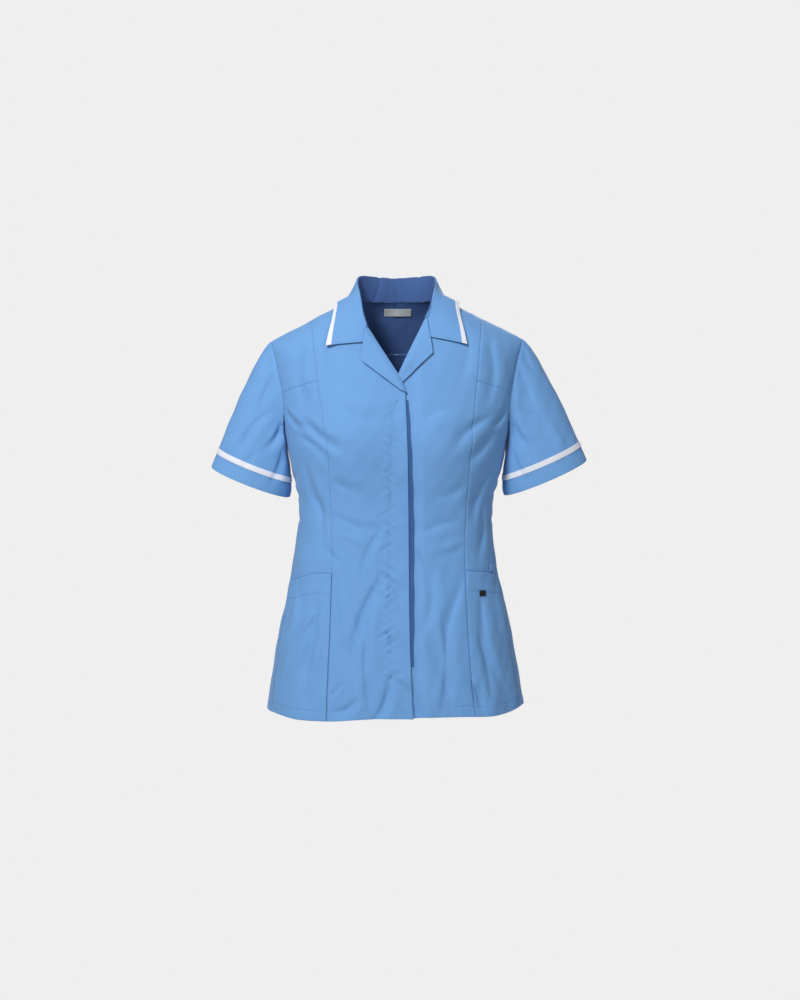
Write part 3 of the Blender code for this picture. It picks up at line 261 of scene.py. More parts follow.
creases = {
    "drop": 2.0,             # scales them all
    "sideShare": 0.35, "sleeveShare": 0.75, "armholeFade": 16.0,
    # x1, z1, x2, z2, half width, depth (a ridge when negative)
    "front": [
        (-150, -215, -92, -262, 9, 2.2), (-158, -240, -108, -290, 8, 1.6),
        (-152, -290, -120, -372, 9, 2.0), (-138, -330, -128, -430, 7, 1.5),
        (-96, -372, -30, -392, 8, 0.9), (-92, -402, -46, -420, 7, -0.8),
        (-80, -196, -20, -214, 12, 1.1), (-60, -452, -22, -540, 9, 1.1),
        (-101, -480, -70, -640, 10, 1.6), (-78, -520, -62, -690, 9, -1.4),
        (-48, -560, -36, -700, 8, 1.4), (-132, -508, -184, -664, 9, 2.4),
        (-126, -552, -150, -694, 8, 1.8), (-164, -500, -196, -600, 7, -1.5),
        (-10, -330, 8, -372, 6, 0.8), (-14, -470, 8, -520, 6, 1.0),
        (-16, -560, 10, -590, 5, 1.0), (-18, -640, 12, -622, 5, 0.9),
        (152, -208, 96, -258, 9, 2.0), (160, -236, 116, -282, 8, 1.5),
        (154, -300, 128, -380, 9, 1.9), (144, -352, 136, -440, 7, 1.4),
        (98, -380, 40, -398, 8, 1.0), (108, -412, 60, -424, 7, -0.8),
        (92, -192, 36, -216, 12, 1.0), (60, -462, 44, -560, 9, 1.2),
        (104, -490, 82, -650, 10, 1.7), (70, -540, 62, -692, 8, -1.2),
        (140, -512, 182, -668, 9, 2.2), (136, -560, 150, -690, 8, 1.6),
        (170, -505, 196, -588, 7, -1.4), (124, -640, 141, -690, 6, 2.0),
        (-160, -90, -152, -190, 10, 1.6), (158, -84, 152, -186, 10, 1.5),
        (-112, -60, -100, -150, 12, 1.2), (118, -66, 106, -146, 12, 1.1),
        (-184, -196, -160, -226, 6, 2.0), (184, -192, 160, -224, 6, 1.9),
        (-104, -312, -60, -330, 9, 0.9), (112, -322, 66, -340, 9, 0.9),
        (30, -640, 44, -700, 7, 1.3), (-118, -424, -96, -452, 6, 1.0),
        (-29, -474, -72, -612, 13, 2.3), (-12, -640, -38, -704, 9, 2.4),
        (-88, -642, -108, -664, 4, 1.3), (-62, -664, -100, -690, 9, 1.7),
        (-135, -528, -195, -662, 5, -1.6), (-8, -632, 26, -668, 6, 1.5),
        (136, -640, 150, -676, 6, 1.6), (48, -560, 88, -676, 12, 1.9),
        (-30, -396, -58, -470, 9, 1.3), (26, -420, 58, -500, 11, 1.3),
    ],
    "back": [
        (-150, -215, -96, -268, 10, 2.6), (-158, -246, -100, -310, 9, 2.0),
        (-150, -300, -110, -372, 9, 2.4), (-128, -330, -60, -352, 10, 1.8),
        (-120, -368, -50, -384, 9, 2.2), (-104, -398, -40, -404, 8, 1.7),
        (-140, -420, -150, -560, 11, 2.6), (-96, -440, -104, -640, 12, 2.8),
        (-60, -470, -64, -690, 10, -1.8), (-170, -470, -184, -680, 10, 2.2),
        (150, -210, 92, -262, 10, 2.4), (160, -250, 108, -306, 9, 2.2),
        (148, -296, 104, -366, 9, 2.2), (130, -336, 56, -348, 10, 1.7),
        (116, -364, 44, -380, 9, 2.0), (108, -394, 52, -408, 8, 1.6),
        (144, -424, 156, -570, 11, 2.5), (98, -446, 112, -650, 12, 2.6),
        (66, -480, 60, -688, 10, -1.7), (168, -476, 180, -676, 10, 2.1),
        (-150, -110, -120, -190, 12, 1.8), (146, -108, 124, -184, 12, 1.7),
        (-60, -120, -30, -240, 14, 1.4), (62, -130, 36, -236, 14, 1.3),
        (-110, -40, -70, -76, 10, 1.0), (106, -36, 64, -72, 10, 1.0),
    ],
    # y1, z1, y2, z2
    "right": [
        (-52, -300, 26, -322, 9, 2.6), (-40, -340, 40, -348, 9, 3.0),
        (-48, -376, 30, -372, 8, 2.2), (-10, -402, 6, -560, 12, 2.6),
        (40, -410, 62, -620, 12, 2.4), (-34, -452, -46, -640, 10, -1.8),
    ],
    "left": [
        (-50, -296, 30, -316, 9, 2.5), (-44, -336, 38, -342, 9, 2.9),
        (-46, -370, 34, -378, 8, 2.1), (-6, -398, 10, -566, 12, 2.5),
        (44, -404, 60, -610, 12, 2.3), (-30, -458, -44, -646, 10, -1.7),
    ],
    "sleeveFront": [
        (-196, -120, -232, -206, 9, 2.0), (-186, -150, -206, -250, 8, 2.6),
        (-214, -196, -262, -250, 9, 1.7), (-190, -212, -224, -262, 7, 2.2),
        (-250, -222, -284, -268, 8, -1.5), (-192, -262, -214, -318, 7, 2.0),
        (-240, -266, -262, -300, 7, 1.2), (-172, -96, -186, -150, 8, 1.8),
        (-206, -92, -226, -140, 9, 1.4),
        (196, -112, 230, -196, 9, 1.9), (188, -146, 208, -244, 8, 2.5),
        (214, -190, 262, -240, 9, 1.6), (192, -208, 226, -256, 7, 2.1),
        (252, -214, 284, -258, 8, -1.4), (196, -258, 218, -312, 7, 1.9),
        (242, -260, 266, -294, 7, 1.2), (174, -92, 188, -146, 8, 1.7),
        (206, -84, 228, -132, 9, 1.3),
    ],
    "sleeveBack": [
        (-192, -116, -226, -208, 10, 2.2), (-188, -160, -214, -256, 8, 2.6),
        (-214, -180, -268, -238, 9, 1.9), (-196, -226, -230, -290, 8, 2.0),
        (-252, -240, -282, -280, 8, -1.5),
        (194, -110, 226, -200, 10, 2.1), (190, -154, 214, -248, 8, 2.5),
        (216, -176, 268, -230, 9, 1.8), (198, -222, 232, -284, 8, 1.9),
        (254, -234, 282, -272, 8, -1.4),
    ],
}


# Sum over creases of -depth*(exp(-(d/sw)^2) - 0.45*exp(-((d-1.7w)/w)^2)), fading at both ends;
# d is the distance to a bowed line in one view, s 0.5 on the steep side and 1.15 on the other
def creaseSet(p, q, rows):
    rows = np.array(rows, float)
    total = np.zeros(p.shape)
    for number, (p1, q1, p2, q2, width, depth) in enumerate(rows):
        way = np.array([p2 - p1, q2 - q1])
        length = np.hypot(*way)
        way = way / length
        run = ((p - p1) * way[0] + (q - q1) * way[1]) / length
        off = (p - p1) * -way[1] + (q - q1) * way[0]
        bow = 0.07 * length * (1 if number % 2 else -1)
        off = off - bow * np.sin(math.pi * np.clip(run, 0, 1))
        fade = ease((run + 0.22) / 0.5) * ease((1.22 - run) / 0.62)
        wide = width * (0.75 + 0.5 * np.clip(run, 0, 1))
        steep = np.where(off * (1 if p1 > 0 else -1) > 0, 0.5, 1.15)
        trough = np.exp(-(off / (wide * steep)) ** 2)
        lip = np.exp(-((off - 1.7 * wide) / wide) ** 2)
        total -= depth * fade * (trough - 0.45 * lip)
    return total


# Slow waves, so that no panel is quite even
def slack(points):
    x, y, z = points[..., 0], points[..., 1], points[..., 2]
    return (0.45 * np.sin(0.061 * x + 0.035 * z + 0.8) * np.sin(0.043 * z - 0.05 * y)
            + 0.28 * np.sin(0.113 * z + 0.071 * x + 0.05 * y + 2.1)
            + 0.16 * np.sin(0.19 * x - 0.12 * z + 0.15 * y))


# drop*(f*front set + b*back set + sideShare*s*side set) + slack; f, b and s say how far the
# normal faces forwards, backwards and sideways
def bodyCrease(points, normals):
    x, y, z = points[..., 0], points[..., 1], points[..., 2]
    sideways = ease((np.abs(normals[..., 0]) - 0.45) / 0.4)
    front = ease((-normals[..., 1] - 0.1) / 0.5)
    back = ease((normals[..., 1] - 0.1) / 0.5)
    out = front * creaseSet(x, z, creases["front"]) + back * creaseSet(x, z, creases["back"])
    out += creases["sideShare"] * sideways * np.where(x < 0, creaseSet(y, z, creases["right"]),
                                                      creaseSet(y, z, creases["left"]))
    return creases["drop"] * out + slack(points)


# sleeveShare*drop*(f*front set + (1 - f)*back set) + slack; f says how far the normal faces
# forwards
def sleeveCrease(points, normals):
    x, z = points[..., 0], points[..., 2]
    front = ease((-normals[..., 1] + 0.35) / 0.7)
    out = (front * creaseSet(x, z, creases["sleeveFront"])
           + (1 - front) * creaseSet(x, z, creases["sleeveBack"]))
    return creases["sleeveShare"] * creases["drop"] * out + slack(points)


# Meshes

finishedPieces = {}


# Millimetres*0.001 as a mesh with its map and materials, on the root body
def addMesh(name, verts, faces, materials, replaces=(), uv=None, slotName="blue_twill",
            faceSlots=None, smoothAngle=50.0):
    mesh = bpy.data.meshes.new(name)
    mesh.from_pydata((np.asarray(verts) * 0.001).astype(np.float32), [], faces)
    if uv is not None:
        layer = mesh.uv_layers.new(name="weave")
        loops = np.empty(len(mesh.loops), np.int32)
        mesh.loops.foreach_get("vertex_index", loops)
        layer.data.foreach_set("uv", uv[loops].astype(np.float32).ravel())
    for material in materials:
        mesh.materials.append(material)
    if faceSlots is not None:
        mesh.polygons.foreach_set("material_index", np.asarray(faceSlots, np.int32))
    mesh.shade_smooth()
    mesh.set_sharp_from_angle(angle=math.radians(smoothAngle))
    piece = bpy.data.objects.new(name, mesh)
    bpy.context.scene.collection.objects.link(piece)
    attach(piece, "root")
    if replaces:
        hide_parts(*replaces)
    finishedPieces[name] = piece
    return piece


# The wearer's side, from the sign of x
def sideName(sign):
    return "Right" if sign < 0 else "Left"


# Quads of a grid and of the same grid inside it, joined round the rim (or both ends of a ring)
def shellFaces(rows, columns, ring=False):
    index = np.arange(rows * columns).reshape(rows, columns)
    count = rows * columns
    if ring:
        index = np.concatenate([index, index[:, :1]], axis=1)
    a, b = index[:-1, :-1], index[:-1, 1:]
    d, e = index[1:, 1:], index[1:, :-1]
    outer = np.stack([a, b, d, e], axis=-1).reshape(-1, 4)
    inner = np.stack([a, e, d, b], axis=-1).reshape(-1, 4) + count
    if ring:
        low, high = index[0], index[-1]
        rims = [np.stack([low[1:], low[:-1], low[:-1] + count, low[1:] + count], axis=-1),
                np.stack([high[:-1], high[1:], high[1:] + count, high[:-1] + count], axis=-1)]
        rim = np.concatenate(rims)
    else:
        edge = np.concatenate([index[0], index[1:, -1], index[-1, -2::-1], index[-2:0:-1, 0]])
        after = np.roll(edge, -1)
        rim = np.stack([after, edge, edge + count, after + count], axis=-1)
    return np.concatenate([outer, inner, rim])


# Distances in millimetres from a grid's four edges (bottom, right, top, left), along its lines
def edgeDistances(points):
    fromBottom, fromLeft = running(points), running(points, 1)
    return fromBottom, fromLeft[:, -1:] - fromLeft, fromBottom[-1:] - fromBottom, fromLeft


# Cross product of the grid's two slopes
def gridNormals(points):
    return unit(np.cross(np.gradient(points, axis=1), np.gradient(points, axis=0)))


# Row whose distance from an edge, read in one column, is nearest to a depth
def rowAt(distances, inColumn, depth):
    return int(np.argmin(np.abs(distances[:, inColumn] - depth)))


# Draws the named edges (b, r, t, l) of a grid in by a gap, towards the next row or column
def drawIn(moved, points, edges, gap):
    if "b" in edges:
        moved[0] += unit(points[1] - points[0]) * gap
    if "r" in edges:
        moved[:, -1] += unit(points[:, -2] - points[:, -1]) * gap
    if "t" in edges:
        moved[-1] += unit(points[-2] - points[-1]) * gap
    if "l" in edges:
        moved[:, 0] += unit(points[:, 1] - points[:, 0]) * gap


# A closed wall between points + n*outside and points + n*(outside - thickness)
def addCloth(name, points, normals, outside, thickness, materials, ring=False, shaded=0, **rest):
    outside = np.broadcast_to(outside, points.shape[:2])[..., None]
    thickness = np.broadcast_to(thickness, points.shape[:2])[..., None]
    outer = points + normals * outside
    inner = outer - normals * thickness
    rows, columns = points.shape[:2]
    fromBottom, _, _, fromLeft = edgeDistances(points)
    uv = np.stack([fromLeft, fromBottom], axis=-1).reshape(-1, 2) * 0.001
    verts = np.concatenate([outer.reshape(-1, 3), inner.reshape(-1, 3)])
    faces = shellFaces(rows, columns, ring)
    faceSlots = np.zeros(len(faces), int)
    if len(materials) > 1:      # the second material is on the inner face, and on some outer rows
        cellCount = (rows - 1) * (columns if ring else columns - 1)
        faceSlots[cellCount:2 * cellCount] = 1
        faceSlots[:shaded * (columns - 1)] = 1
    return addMesh(name, verts, faces, materials, uv=np.concatenate([uv, uv]),
                   faceSlots=faceSlots, **rest)


# Coons patch: grid between four edges read at shares v up and u across
def patch(left, right, bottom, top, v, u):
    left, right = (readAt(line, v * (len(line) - 1))[:, None] for line in (left, right))
    bottom, top = (readAt(line, u * (len(line) - 1))[None] for line in (bottom, top))
    v, u = v[:, None, None], u[None, :, None]
    corners = ((1 - u) * (1 - v) * bottom[:, :1] + u * (1 - v) * bottom[:, -1:]
               + (1 - u) * v * top[:, :1] + u * v * top[:, -1:])
    return (1 - u) * left + u * right + (1 - v) * bottom + v * top - corners


# Seam lines

seams = {
    "princess": [
        # level, right_x, left_x
        (-39.6, -144.0, 144.0), (-95.0, -137.0, 138.0), (-147.0, -130.5, 133.5),
        (-250.0, -116.5, 124.5), (-340.0, -109.0, 117.0), (-450.0, -106.5, 113.5),
        (-550.0, -109.0, 117.0), (-649.0, -113.5, 124.0), (-701.0, -115.0, 130.0),
    ],
    "chestLevel": -147.0, "chestEnd": -166.0, "yokeLevel": -92.0,
    "side": [
        # level, right_deg, left_deg
        (-240.0, 90.0, 90.0), (-290.0, 86.5, 86.0), (-345.0, 83.5, 82.0),
        (-460.0, 77.5, 74.6), (-580.0, 74.2, 70.8), (-705.0, 73.8, 71.6),
    ],
    "armFront": [
        # angle_deg, level
        (72.7, -75.0), (73.2, -92.0), (73.0, -107.0), (71.2, -134.0), (69.2, -166.0),
        (70.5, -196.0), (75.5, -221.0), (82.0, -235.0), (90.0, -240.0),
    ],
    "armBack": [
        (72.7, -75.0), (74.0, -92.0), (73.5, -112.0), (71.5, -140.0), (70.0, -168.0),
        (70.8, -198.0), (75.5, -222.0), (82.0, -235.0), (90.0, -240.0),
    ],
    "frontEdge": [
        # level, x
        (-168.0, 14.5), (-227.0, 17.0), (-300.0, 19.0), (-440.0, 20.5), (-570.0, 22.0),
        (-652.0, 25.0), (-701.0, 28.0),
    ],
    "breakLevel": -168.0, "vLevel": -138.0, "vX": 1.0,
    "underSink": 4.7, "underReach": 26.0,
    "gorge": {-1: (-50.5, -57.5), 1: (50.0, -42.0)},
    # fraction from the gorge to the neck point, share of the sideways way
    "neckFront": [(0.0, 0.0), (0.25, 0.38), (0.5, 0.66), (0.75, 0.88), (1.0, 1.0)],
}
# cells along each stretch of seam
cells = {"lower": 108, "armLower": 24, "armBack": 48, "lapel": 24, "neck": 36, "upper": 60,
         "yoke": 36, "backNeck": 54}


# The hem's level at an angle, read from its table
def hemLevel(angle):
    degrees = np.degrees(np.remainder(angle + math.pi, 2 * math.pi) - math.pi)
    return tableAt(shape["hem"], degrees)


# A chart point moved up or down to the hem at its own angle
def toHem(point):
    return np.array([point[0], float(hemLevel(point[0]))])


# x of the right front's edge at a level, read from its table
def frontEdgeX(z):
    return tableAt(seams["frontEdge"], z)


# Chart points of a princess seam, from the hem to the shoulder
def princess(sign):
    row = 1 if sign < 0 else 2
    low = np.linspace(float(hemLevel(sign * 0.6)), seams["chestLevel"], cells["lower"] + 1)
    top = ridgeLevel(seams["princess"][0][row])
    rise = 1.0 - np.linspace(1.0, 0.0, cells["upper"] + 1) ** 2
    z = np.concatenate([low, (seams["chestLevel"] + (top - seams["chestLevel"]) * rise)[1:]])
    line = chart(tableAt(seams["princess"], z, row), z)
    line[0] = toHem(line[0])
    return line


# Chart points round the armhole: the front from tip to underarm, then the back
def armhole(sign):
    scale = np.array([2.0, 1.0])
    tipAngle, tipLevel = seams["armFront"][0]
    lift = ridgeLevel(body(sign * math.radians(tipAngle), tipLevel)[0]) - tipLevel

    def branch(rows, counts, stops, side):
        keys = np.array(rows)
        span = tipLevel - seams["chestEnd"]
        keys[:, 1] += lift * ease((keys[:, 1] - seams["chestEnd"]) / span)
        dense = np.stack([smooth(np.linspace(0, 1, 241), np.linspace(0, 1, len(keys)), keys[:, k])
                          for k in range(2)], axis=-1)
        cuts = [0] + [int(np.argmin(np.abs(dense[:, 1] - stop))) for stop in stops] + [240]
        line = [dense[:1]]
        for count, start, end in zip(counts, cuts[:-1], cuts[1:]):
            shares = np.linspace(0.0, 1.0, count + 1) ** (1.35 if start == 0 else 1.0)
            line.append((along(dense[start:end + 1] * scale, shares) / scale)[1:])
        line = np.concatenate(line)
        angle = np.radians(line[:, 0])
        angle = math.pi - angle if side < 0 else angle
        return np.stack([sign * angle, line[:, 1]], axis=-1)

    front = branch(seams["armFront"], (cells["upper"], cells["armLower"]), (seams["chestEnd"],), 1)
    back = branch(seams["armBack"], (cells["yoke"], cells["armBack"]),
                  (seams["yokeLevel"] - 14.0,), -1)
    return front, back


# Chart points of a side seam, in equal steps of level from the hem to the underarm
def sideSeam(sign):
    underarm = seams["armFront"][-1][1]
    z = np.linspace(float(hemLevel(sign * math.radians(78.0))), underarm,
                    cells["lower"] - cells["armLower"] + 1)
    degrees = tableAt(seams["side"], z, 1 if sign < 0 else 2)
    line = np.stack([sign * np.radians(degrees), z], axis=-1)
    line[0] = toHem(line[0])
    return line


# Chart points along the shoulder line, in equal steps of x
def shoulder(x0, x1, count, side=1):
    x = np.linspace(x0, x1, count + 1)
    return chart(x, ridgeLevel(x), side)


# Foot of the left roll line: its line from the gorge to the V, carried on down to the break
def leftRollFoot():
    gorge = np.array(seams["gorge"][1])
    v = np.array([seams["vX"], seams["vLevel"]])
    return v + (v - gorge) * (v[1] - seams["breakLevel"]) / (gorge[1] - v[1])


# Chart points from the break up the roll line, then along the neck seam to the shoulder
def neckFront(sign):
    gorge = np.array(seams["gorge"][sign])
    v = np.array([seams["vX"], seams["vLevel"]])
    if sign < 0:
        start = np.array([frontEdgeX(seams["breakLevel"]), seams["breakLevel"]])
    else:
        start = leftRollFoot()
    roll = along([start, v, gorge], np.linspace(0.0, 1.0, cells["lapel"] + 1))
    share = np.linspace(0.0, 1.0, cells["neck"] + 1)[1:]
    spread = np.interp(share, column(seams["neckFront"], 0), column(seams["neckFront"], 1))
    up = 1.0 - (1.0 - share) ** 1.6
    x = sign * shape["neckPointX"]
    neck = np.stack([gorge[0] + (x - gorge[0]) * spread,
                     gorge[1] + (ridgeLevel(x) - gorge[1]) * up], axis=-1)
    line = np.concatenate([roll, neck])
    return chart(line[:, 0], line[:, 1])


# Chart points of the neck seam behind: x = neckPointX*sin(90 degrees*share), and a level that
# goes from the neck's to the shoulder line's with |share|^6
def neckBack():
    share = np.linspace(-1.0, 1.0, 2 * cells["backNeck"] + 1)
    x = shape["neckPointX"] * np.sin(share * math.pi / 2.0)
    near = np.abs(share) ** 6
    return chart(x, shape["backNeckLevel"] * (1.0 - near) + ridgeLevel(x) * near, -1)


# Chart points along the hem, in equal steps of angle
def hemLine(start, end, count):
    angle = np.linspace(start[0], end[0], count + 1)
    return np.stack([angle, hemLevel(angle)], axis=-1)


# Angles below 0 gain a full turn, so that the back has no jump in its middle
def unwrap(points):
    grid = points.copy()
    grid[..., 0] = np.where(grid[..., 0] < 0.0, grid[..., 0] + 2 * math.pi, grid[..., 0])
    return grid


# Where the yoke seam meets the left and the right armhole
def yokeEnds():
    return [unwrap(armhole(sign)[1])[cells["yoke"]] for sign in (1, -1)]


# end + (yokeLevel - end)*sin(pi*share)^0.8, share going from one armhole to the other
def yokeLevel(angle, ends):
    share = (angle - ends[0][0]) / (ends[1][0] - ends[0][0])
    rise = np.sin(math.pi * np.clip(share, 0.0, 1.0)) ** 0.8
    return ends[0][1] + (seams["yokeLevel"] - ends[0][1]) * rise


# The left front sinks under the right one, and comes level again by underReach past the right
# one's edge and by vLevel + 26
def leftSink(x, z):
    covered = ease((frontEdgeX(z) + seams["underReach"] - x) / 15.0)
    return -seams["underSink"] * covered * ease((seams["vLevel"] + 26.0 - z) / 26.0)


# Sleeves: the cuff's ring, 0 at the outer side, 90 degrees in front, 180 beside the body

cuffs = {
    -1: {"x": -248.0, "level": -314.0, "halfWide": 71.5, "rise": math.radians(21.0)},
    1: {"x": 253.0, "level": -306.5, "halfWide": 76.5, "rise": math.radians(23.0)},
    "halfDeep": 48.0, "frontDrop": 0.14,
}


# centre + halfWide*cos(a)*long way + halfDeep*sin(a)*short way
def cuffPoint(angle, sign):
    cuff = cuffs[sign]
    longWay = np.array([sign * math.cos(cuff["rise"]), 0.0, math.sin(cuff["rise"])])
    shortWay = np.array([0.0, -math.cos(cuffs["frontDrop"]), -math.sin(cuffs["frontDrop"])])
    centre = np.array([cuff["x"], 0.0, cuff["level"]])
    return (centre + cuff["halfWide"] * np.cos(angle)[..., None] * longWay
            + cuffs["halfDeep"] * np.sin(angle)[..., None] * shortWay)


# Armhole ring, cuff ring and the tangents at both ends, as the sleeve's solid has them
def sleeveFrame(sign):
    front, back = armhole(sign)
    ring = np.concatenate([front, back[-2:0:-1]])
    start, normal = bodyAt(ring)
    turn = np.concatenate([np.linspace(0.0, math.pi, len(front)),
                           np.linspace(math.pi, 2 * math.pi, len(back))[1:-1]])
    end = cuffPoint(turn, sign)
    lean = (0.25 + 0.17 * np.cos(turn))[:, None]
    away = unit(0.6 * unit(end - start) + lean * np.array([sign, 0.0, 0.0]))
    rise = cuffs[sign]["rise"]
    around = sign * (np.roll(start, 1, axis=0) - np.roll(start, -1, axis=0))
    own = unit(np.cross(away, around))
    alike = ease((np.sum(own * normal, axis=-1) + 0.3) / 0.8)[:, None]
    middle = unit(own + normal)
    return {"ring": ring, "end": end, "away": away, "turn": turn,
            "start": start + cloth["seamGap"] * unit(away * alike + normal * (1.0 - alike)),
            "axis": np.array([sign * math.sin(rise), 0.0, -math.cos(rise)]),
            "pull": (0.6 - 0.15 * np.cos(turn))[:, None],
            "seamBody": unit(normal * (1 - alike) + middle * alike),
            "seamSleeve": unit(own * (1 - alike) + middle * alike)}


# Hermite curves from each armhole point to its cuff point
def sleeveSurface(frame, share):
    u = np.broadcast_to(share, (len(share), len(frame["ring"])))[..., None]
    start, end = frame["start"][None], frame["end"][None]
    length = np.linalg.norm(frame["end"] - frame["start"], axis=-1)[None, :, None]
    return (start * (2 * u ** 3 - 3 * u ** 2 + 1) + end * (3 * u ** 2 - 2 * u ** 3)
            + frame["away"][None] * frame["pull"] * length * (u ** 3 - 2 * u ** 2 + u)
            + frame["axis"][None, None] * 0.8 * length * (u ** 3 - u ** 2))


# Cross product of the way down the sleeve and the way round it
def sleeveNormal(frame, share, sign):
    share = np.broadcast_to(share, (len(share), len(frame["ring"])))
    down = sleeveSurface(frame, share + 0.01) - sleeveSurface(frame, share - 0.01)
    points = sleeveSurface(frame, share)
    around = sign * (np.roll(points, 1, axis=1) - np.roll(points, -1, axis=1))
    return unit(np.cross(down, around))


sleeveFrames = {sign: sleeveFrame(sign) for sign in (-1, 1)}
ringSize = len(sleeveFrames[1]["ring"])
armholePoints = np.concatenate([sleeveFrames[sign]["start"][::3] for sign in (-1, 1)])


# Distance to the nearest armhole point, the root of |p|^2 + |q|^2 - 2p.q
def fromArmhole(points):
    flat = points.reshape(-1, 3)
    square = ((flat ** 2).sum(1)[:, None] + (armholePoints ** 2).sum(1)[None]
              - 2 * flat @ armholePoints.T)
    return np.sqrt(np.maximum(square.min(axis=1), 0.0)).reshape(points.shape[:-1])


# Creases fade out towards the armhole
def calmed(crease, points):
    return crease * ease(fromArmhole(points) / creases["armholeFade"])


# Normals of the armhole's seam at places round its ring, which may be fractions
def armNormals(sign, places):
    rows = sleeveFrames[sign]["seamBody"]
    return unit(readAt(np.concatenate([rows, rows[:1]]), places))


# Materials

# sRGB to linear: c/12.92, or ((c + 0.055)/1.055)^2.4 above 0.04045
def linear(hexColour):
    parts = [int(hexColour[k:k + 2], 16) / 255 for k in (1, 3, 5)]
    return (*[c / 12.92 if c <= 0.04045 else ((c + 0.055) / 1.055) ** 2.4 for c in parts], 1.0)


# Adds a node; settings name its own fields or its sockets, links give socket: (node, output)
def addNode(tree, kind, settings=None, links=None):
    node = tree.nodes.new(kind)
    for key, value in (settings or {}).items():
        if hasattr(node, str(key)):
            setattr(node, key, value)
        else:
            node.inputs[key].default_value = value
    for socket, (source, output) in (links or {}).items():
        tree.links.new(source.outputs[output], node.inputs[socket])
    return node


# Woven cloth: diagonal (twill) or square (tape) ribs from the piece's own map, colour between
# two hexes, slow mottling of the dye, and fine bumps from the ribs
def wovenMaterial(name, light, dark, spacing, diagonal, roughness, sheen, bump, mottle):
    material = bpy.data.materials.new(name)
    material.use_nodes = True
    tree = material.node_tree
    shader = tree.nodes["Principled BSDF"]
    shader.inputs["Roughness"].default_value = roughness
    shader.inputs["Sheen Weight"].default_value = sheen
    shader.inputs["Sheen Roughness"].default_value = 0.4
    shader.inputs["Specular IOR Level"].default_value = 0.3
    place = addNode(tree, "ShaderNodeUVMap", {"uv_map": "weave"})
    ribs = addNode(tree, "ShaderNodeTexWave",
                   {"wave_type": "BANDS", "bands_direction": "DIAGONAL" if diagonal else "X",
                    "wave_profile": "SIN", "Scale": 0.314 / spacing * 1000, "Distortion": 0.6,
                    "Detail": 1.0, "Detail Scale": 2.0}, {"Vector": (place, "UV")})
    cross = addNode(tree, "ShaderNodeTexWave",
                    {"wave_type": "BANDS", "bands_direction": "Y", "wave_profile": "SIN",
                     "Scale": 0.314 / spacing * 1400, "Distortion": 0.4}, {"Vector": (place, "UV")})
    spot = addNode(tree, "ShaderNodeTexCoord")
    cloud = addNode(tree, "ShaderNodeTexNoise", {"Scale": 14.0, "Detail": 3.0, "Roughness": 0.5},
                    {"Vector": (spot, "Object")})
    slub = addNode(tree, "ShaderNodeTexNoise", {"Scale": 420.0, "Detail": 2.0},
                   {"Vector": (spot, "Object")})
    both = addNode(tree, "ShaderNodeMath", {"operation": "MULTIPLY_ADD", 1: 0.35},
                   {0: (cross, "Fac"), 2: (ribs, "Fac")})
    weave = addNode(tree, "ShaderNodeMath", {"operation": "MULTIPLY_ADD", 1: 0.5},
                    {0: (slub, "Fac"), 2: (both, "Value")})
    tone = addNode(tree, "ShaderNodeMath", {"operation": "MULTIPLY_ADD", 1: mottle},
                   {0: (cloud, "Fac"), 2: (weave, "Value")})
    ramp = addNode(tree, "ShaderNodeMapRange", {"From Min": 0.1, "From Max": 1.9 + mottle},
                   {"Value": (tone, "Value")})
    colour = addNode(tree, "ShaderNodeMix", {"data_type": "RGBA"}, {"Factor": (ramp, "Result")})
    colour.inputs[6].default_value = linear(dark)
    colour.inputs[7].default_value = linear(light)
    tree.links.new(colour.outputs[2], shader.inputs["Base Color"])
    height = addNode(tree, "ShaderNodeBump", {"Strength": bump, "Distance": 0.0004},
                     {"Height": (weave, "Value")})
    tree.links.new(height.outputs["Normal"], shader.inputs["Normal"])
    return material


# Dyed polyester and cotton twill: matt, with a faint diagonal rib and a soft bloom at grazing
# angles; the rib is drawn at 0.9 mm, where a real one is about 0.35 mm
twill = wovenMaterial("dyedPolyesterCottonTwill", "#73A6D9", "#6395CC", 0.9, True, 0.8, 0.15,
                      0.25, 0.5)
# The same twill drawn darker as painted shade, on the wrong side inside the garment and on the
# collar's stand inside the neck
twillPaintedShade = wovenMaterial("twillDrawnDarkAsPaintedShade", "#47659C", "#3C5A90", 0.9, True, 0.85, 0.1,
                            0.25, 0.5)
# The strip under the front edge, drawn darker for the overlap's shade
twillUnder = wovenMaterial("twillUnderlayer", "#3C619C", "#345890", 0.9, True, 0.85, 0.1, 0.25, 0.5)
# Woven cotton braid, white with a trace of blue and a fine cross rib, slightly brighter
braid = wovenMaterial("wovenCottonBraid", "#F4F5FA", "#DCDFE9", 1.1, False, 0.7, 0.2, 0.5, 0.2)
# Grey satin label tape, smoother than the cloth
greyTape = wovenMaterial("greySatinLabelTape", "#D6DAD8", "#BEC4C3", 0.7, False, 0.45, 0.3,
                         0.3, 0.3)
# Black damask label tape
blackTape = wovenMaterial("blackDamaskLabelTape", "#17181B", "#0C0D10", 0.6, False, 0.5, 0.2,
                          0.3, 0.2)
# Spun polyester sewing thread, a shade lighter than the cloth, with a slight gloss
thread = wovenMaterial("spunPolyesterThread", "#86B0E2", "#6C99D2", 0.5, True, 0.55, 0.2, 0.2, 0.1)
# The same thread drawn darker as painted shade, for sewing inside, sewing across the pen loop's
# ends and lines that stand in for narrow shadows
shadeThread = wovenMaterial("spunPolyesterThreadPaintedShade", "#2E4F86", "#264578", 0.5, True, 0.6, 0.1,
                            0.2, 0.1)
# White thread that holds the braid
whiteThread = wovenMaterial("spunPolyesterThreadWhite", "#EDEFF5", "#D6DAE4", 0.5, True, 0.55,
                            0.2, 0.2, 0.1)
print("materials made")


# Sewing

stitchRuns = {"thread": [], "shade": [], "white": []}
sewing = {"pitch": 3.0, "length": 2.2, "radius": 0.3}


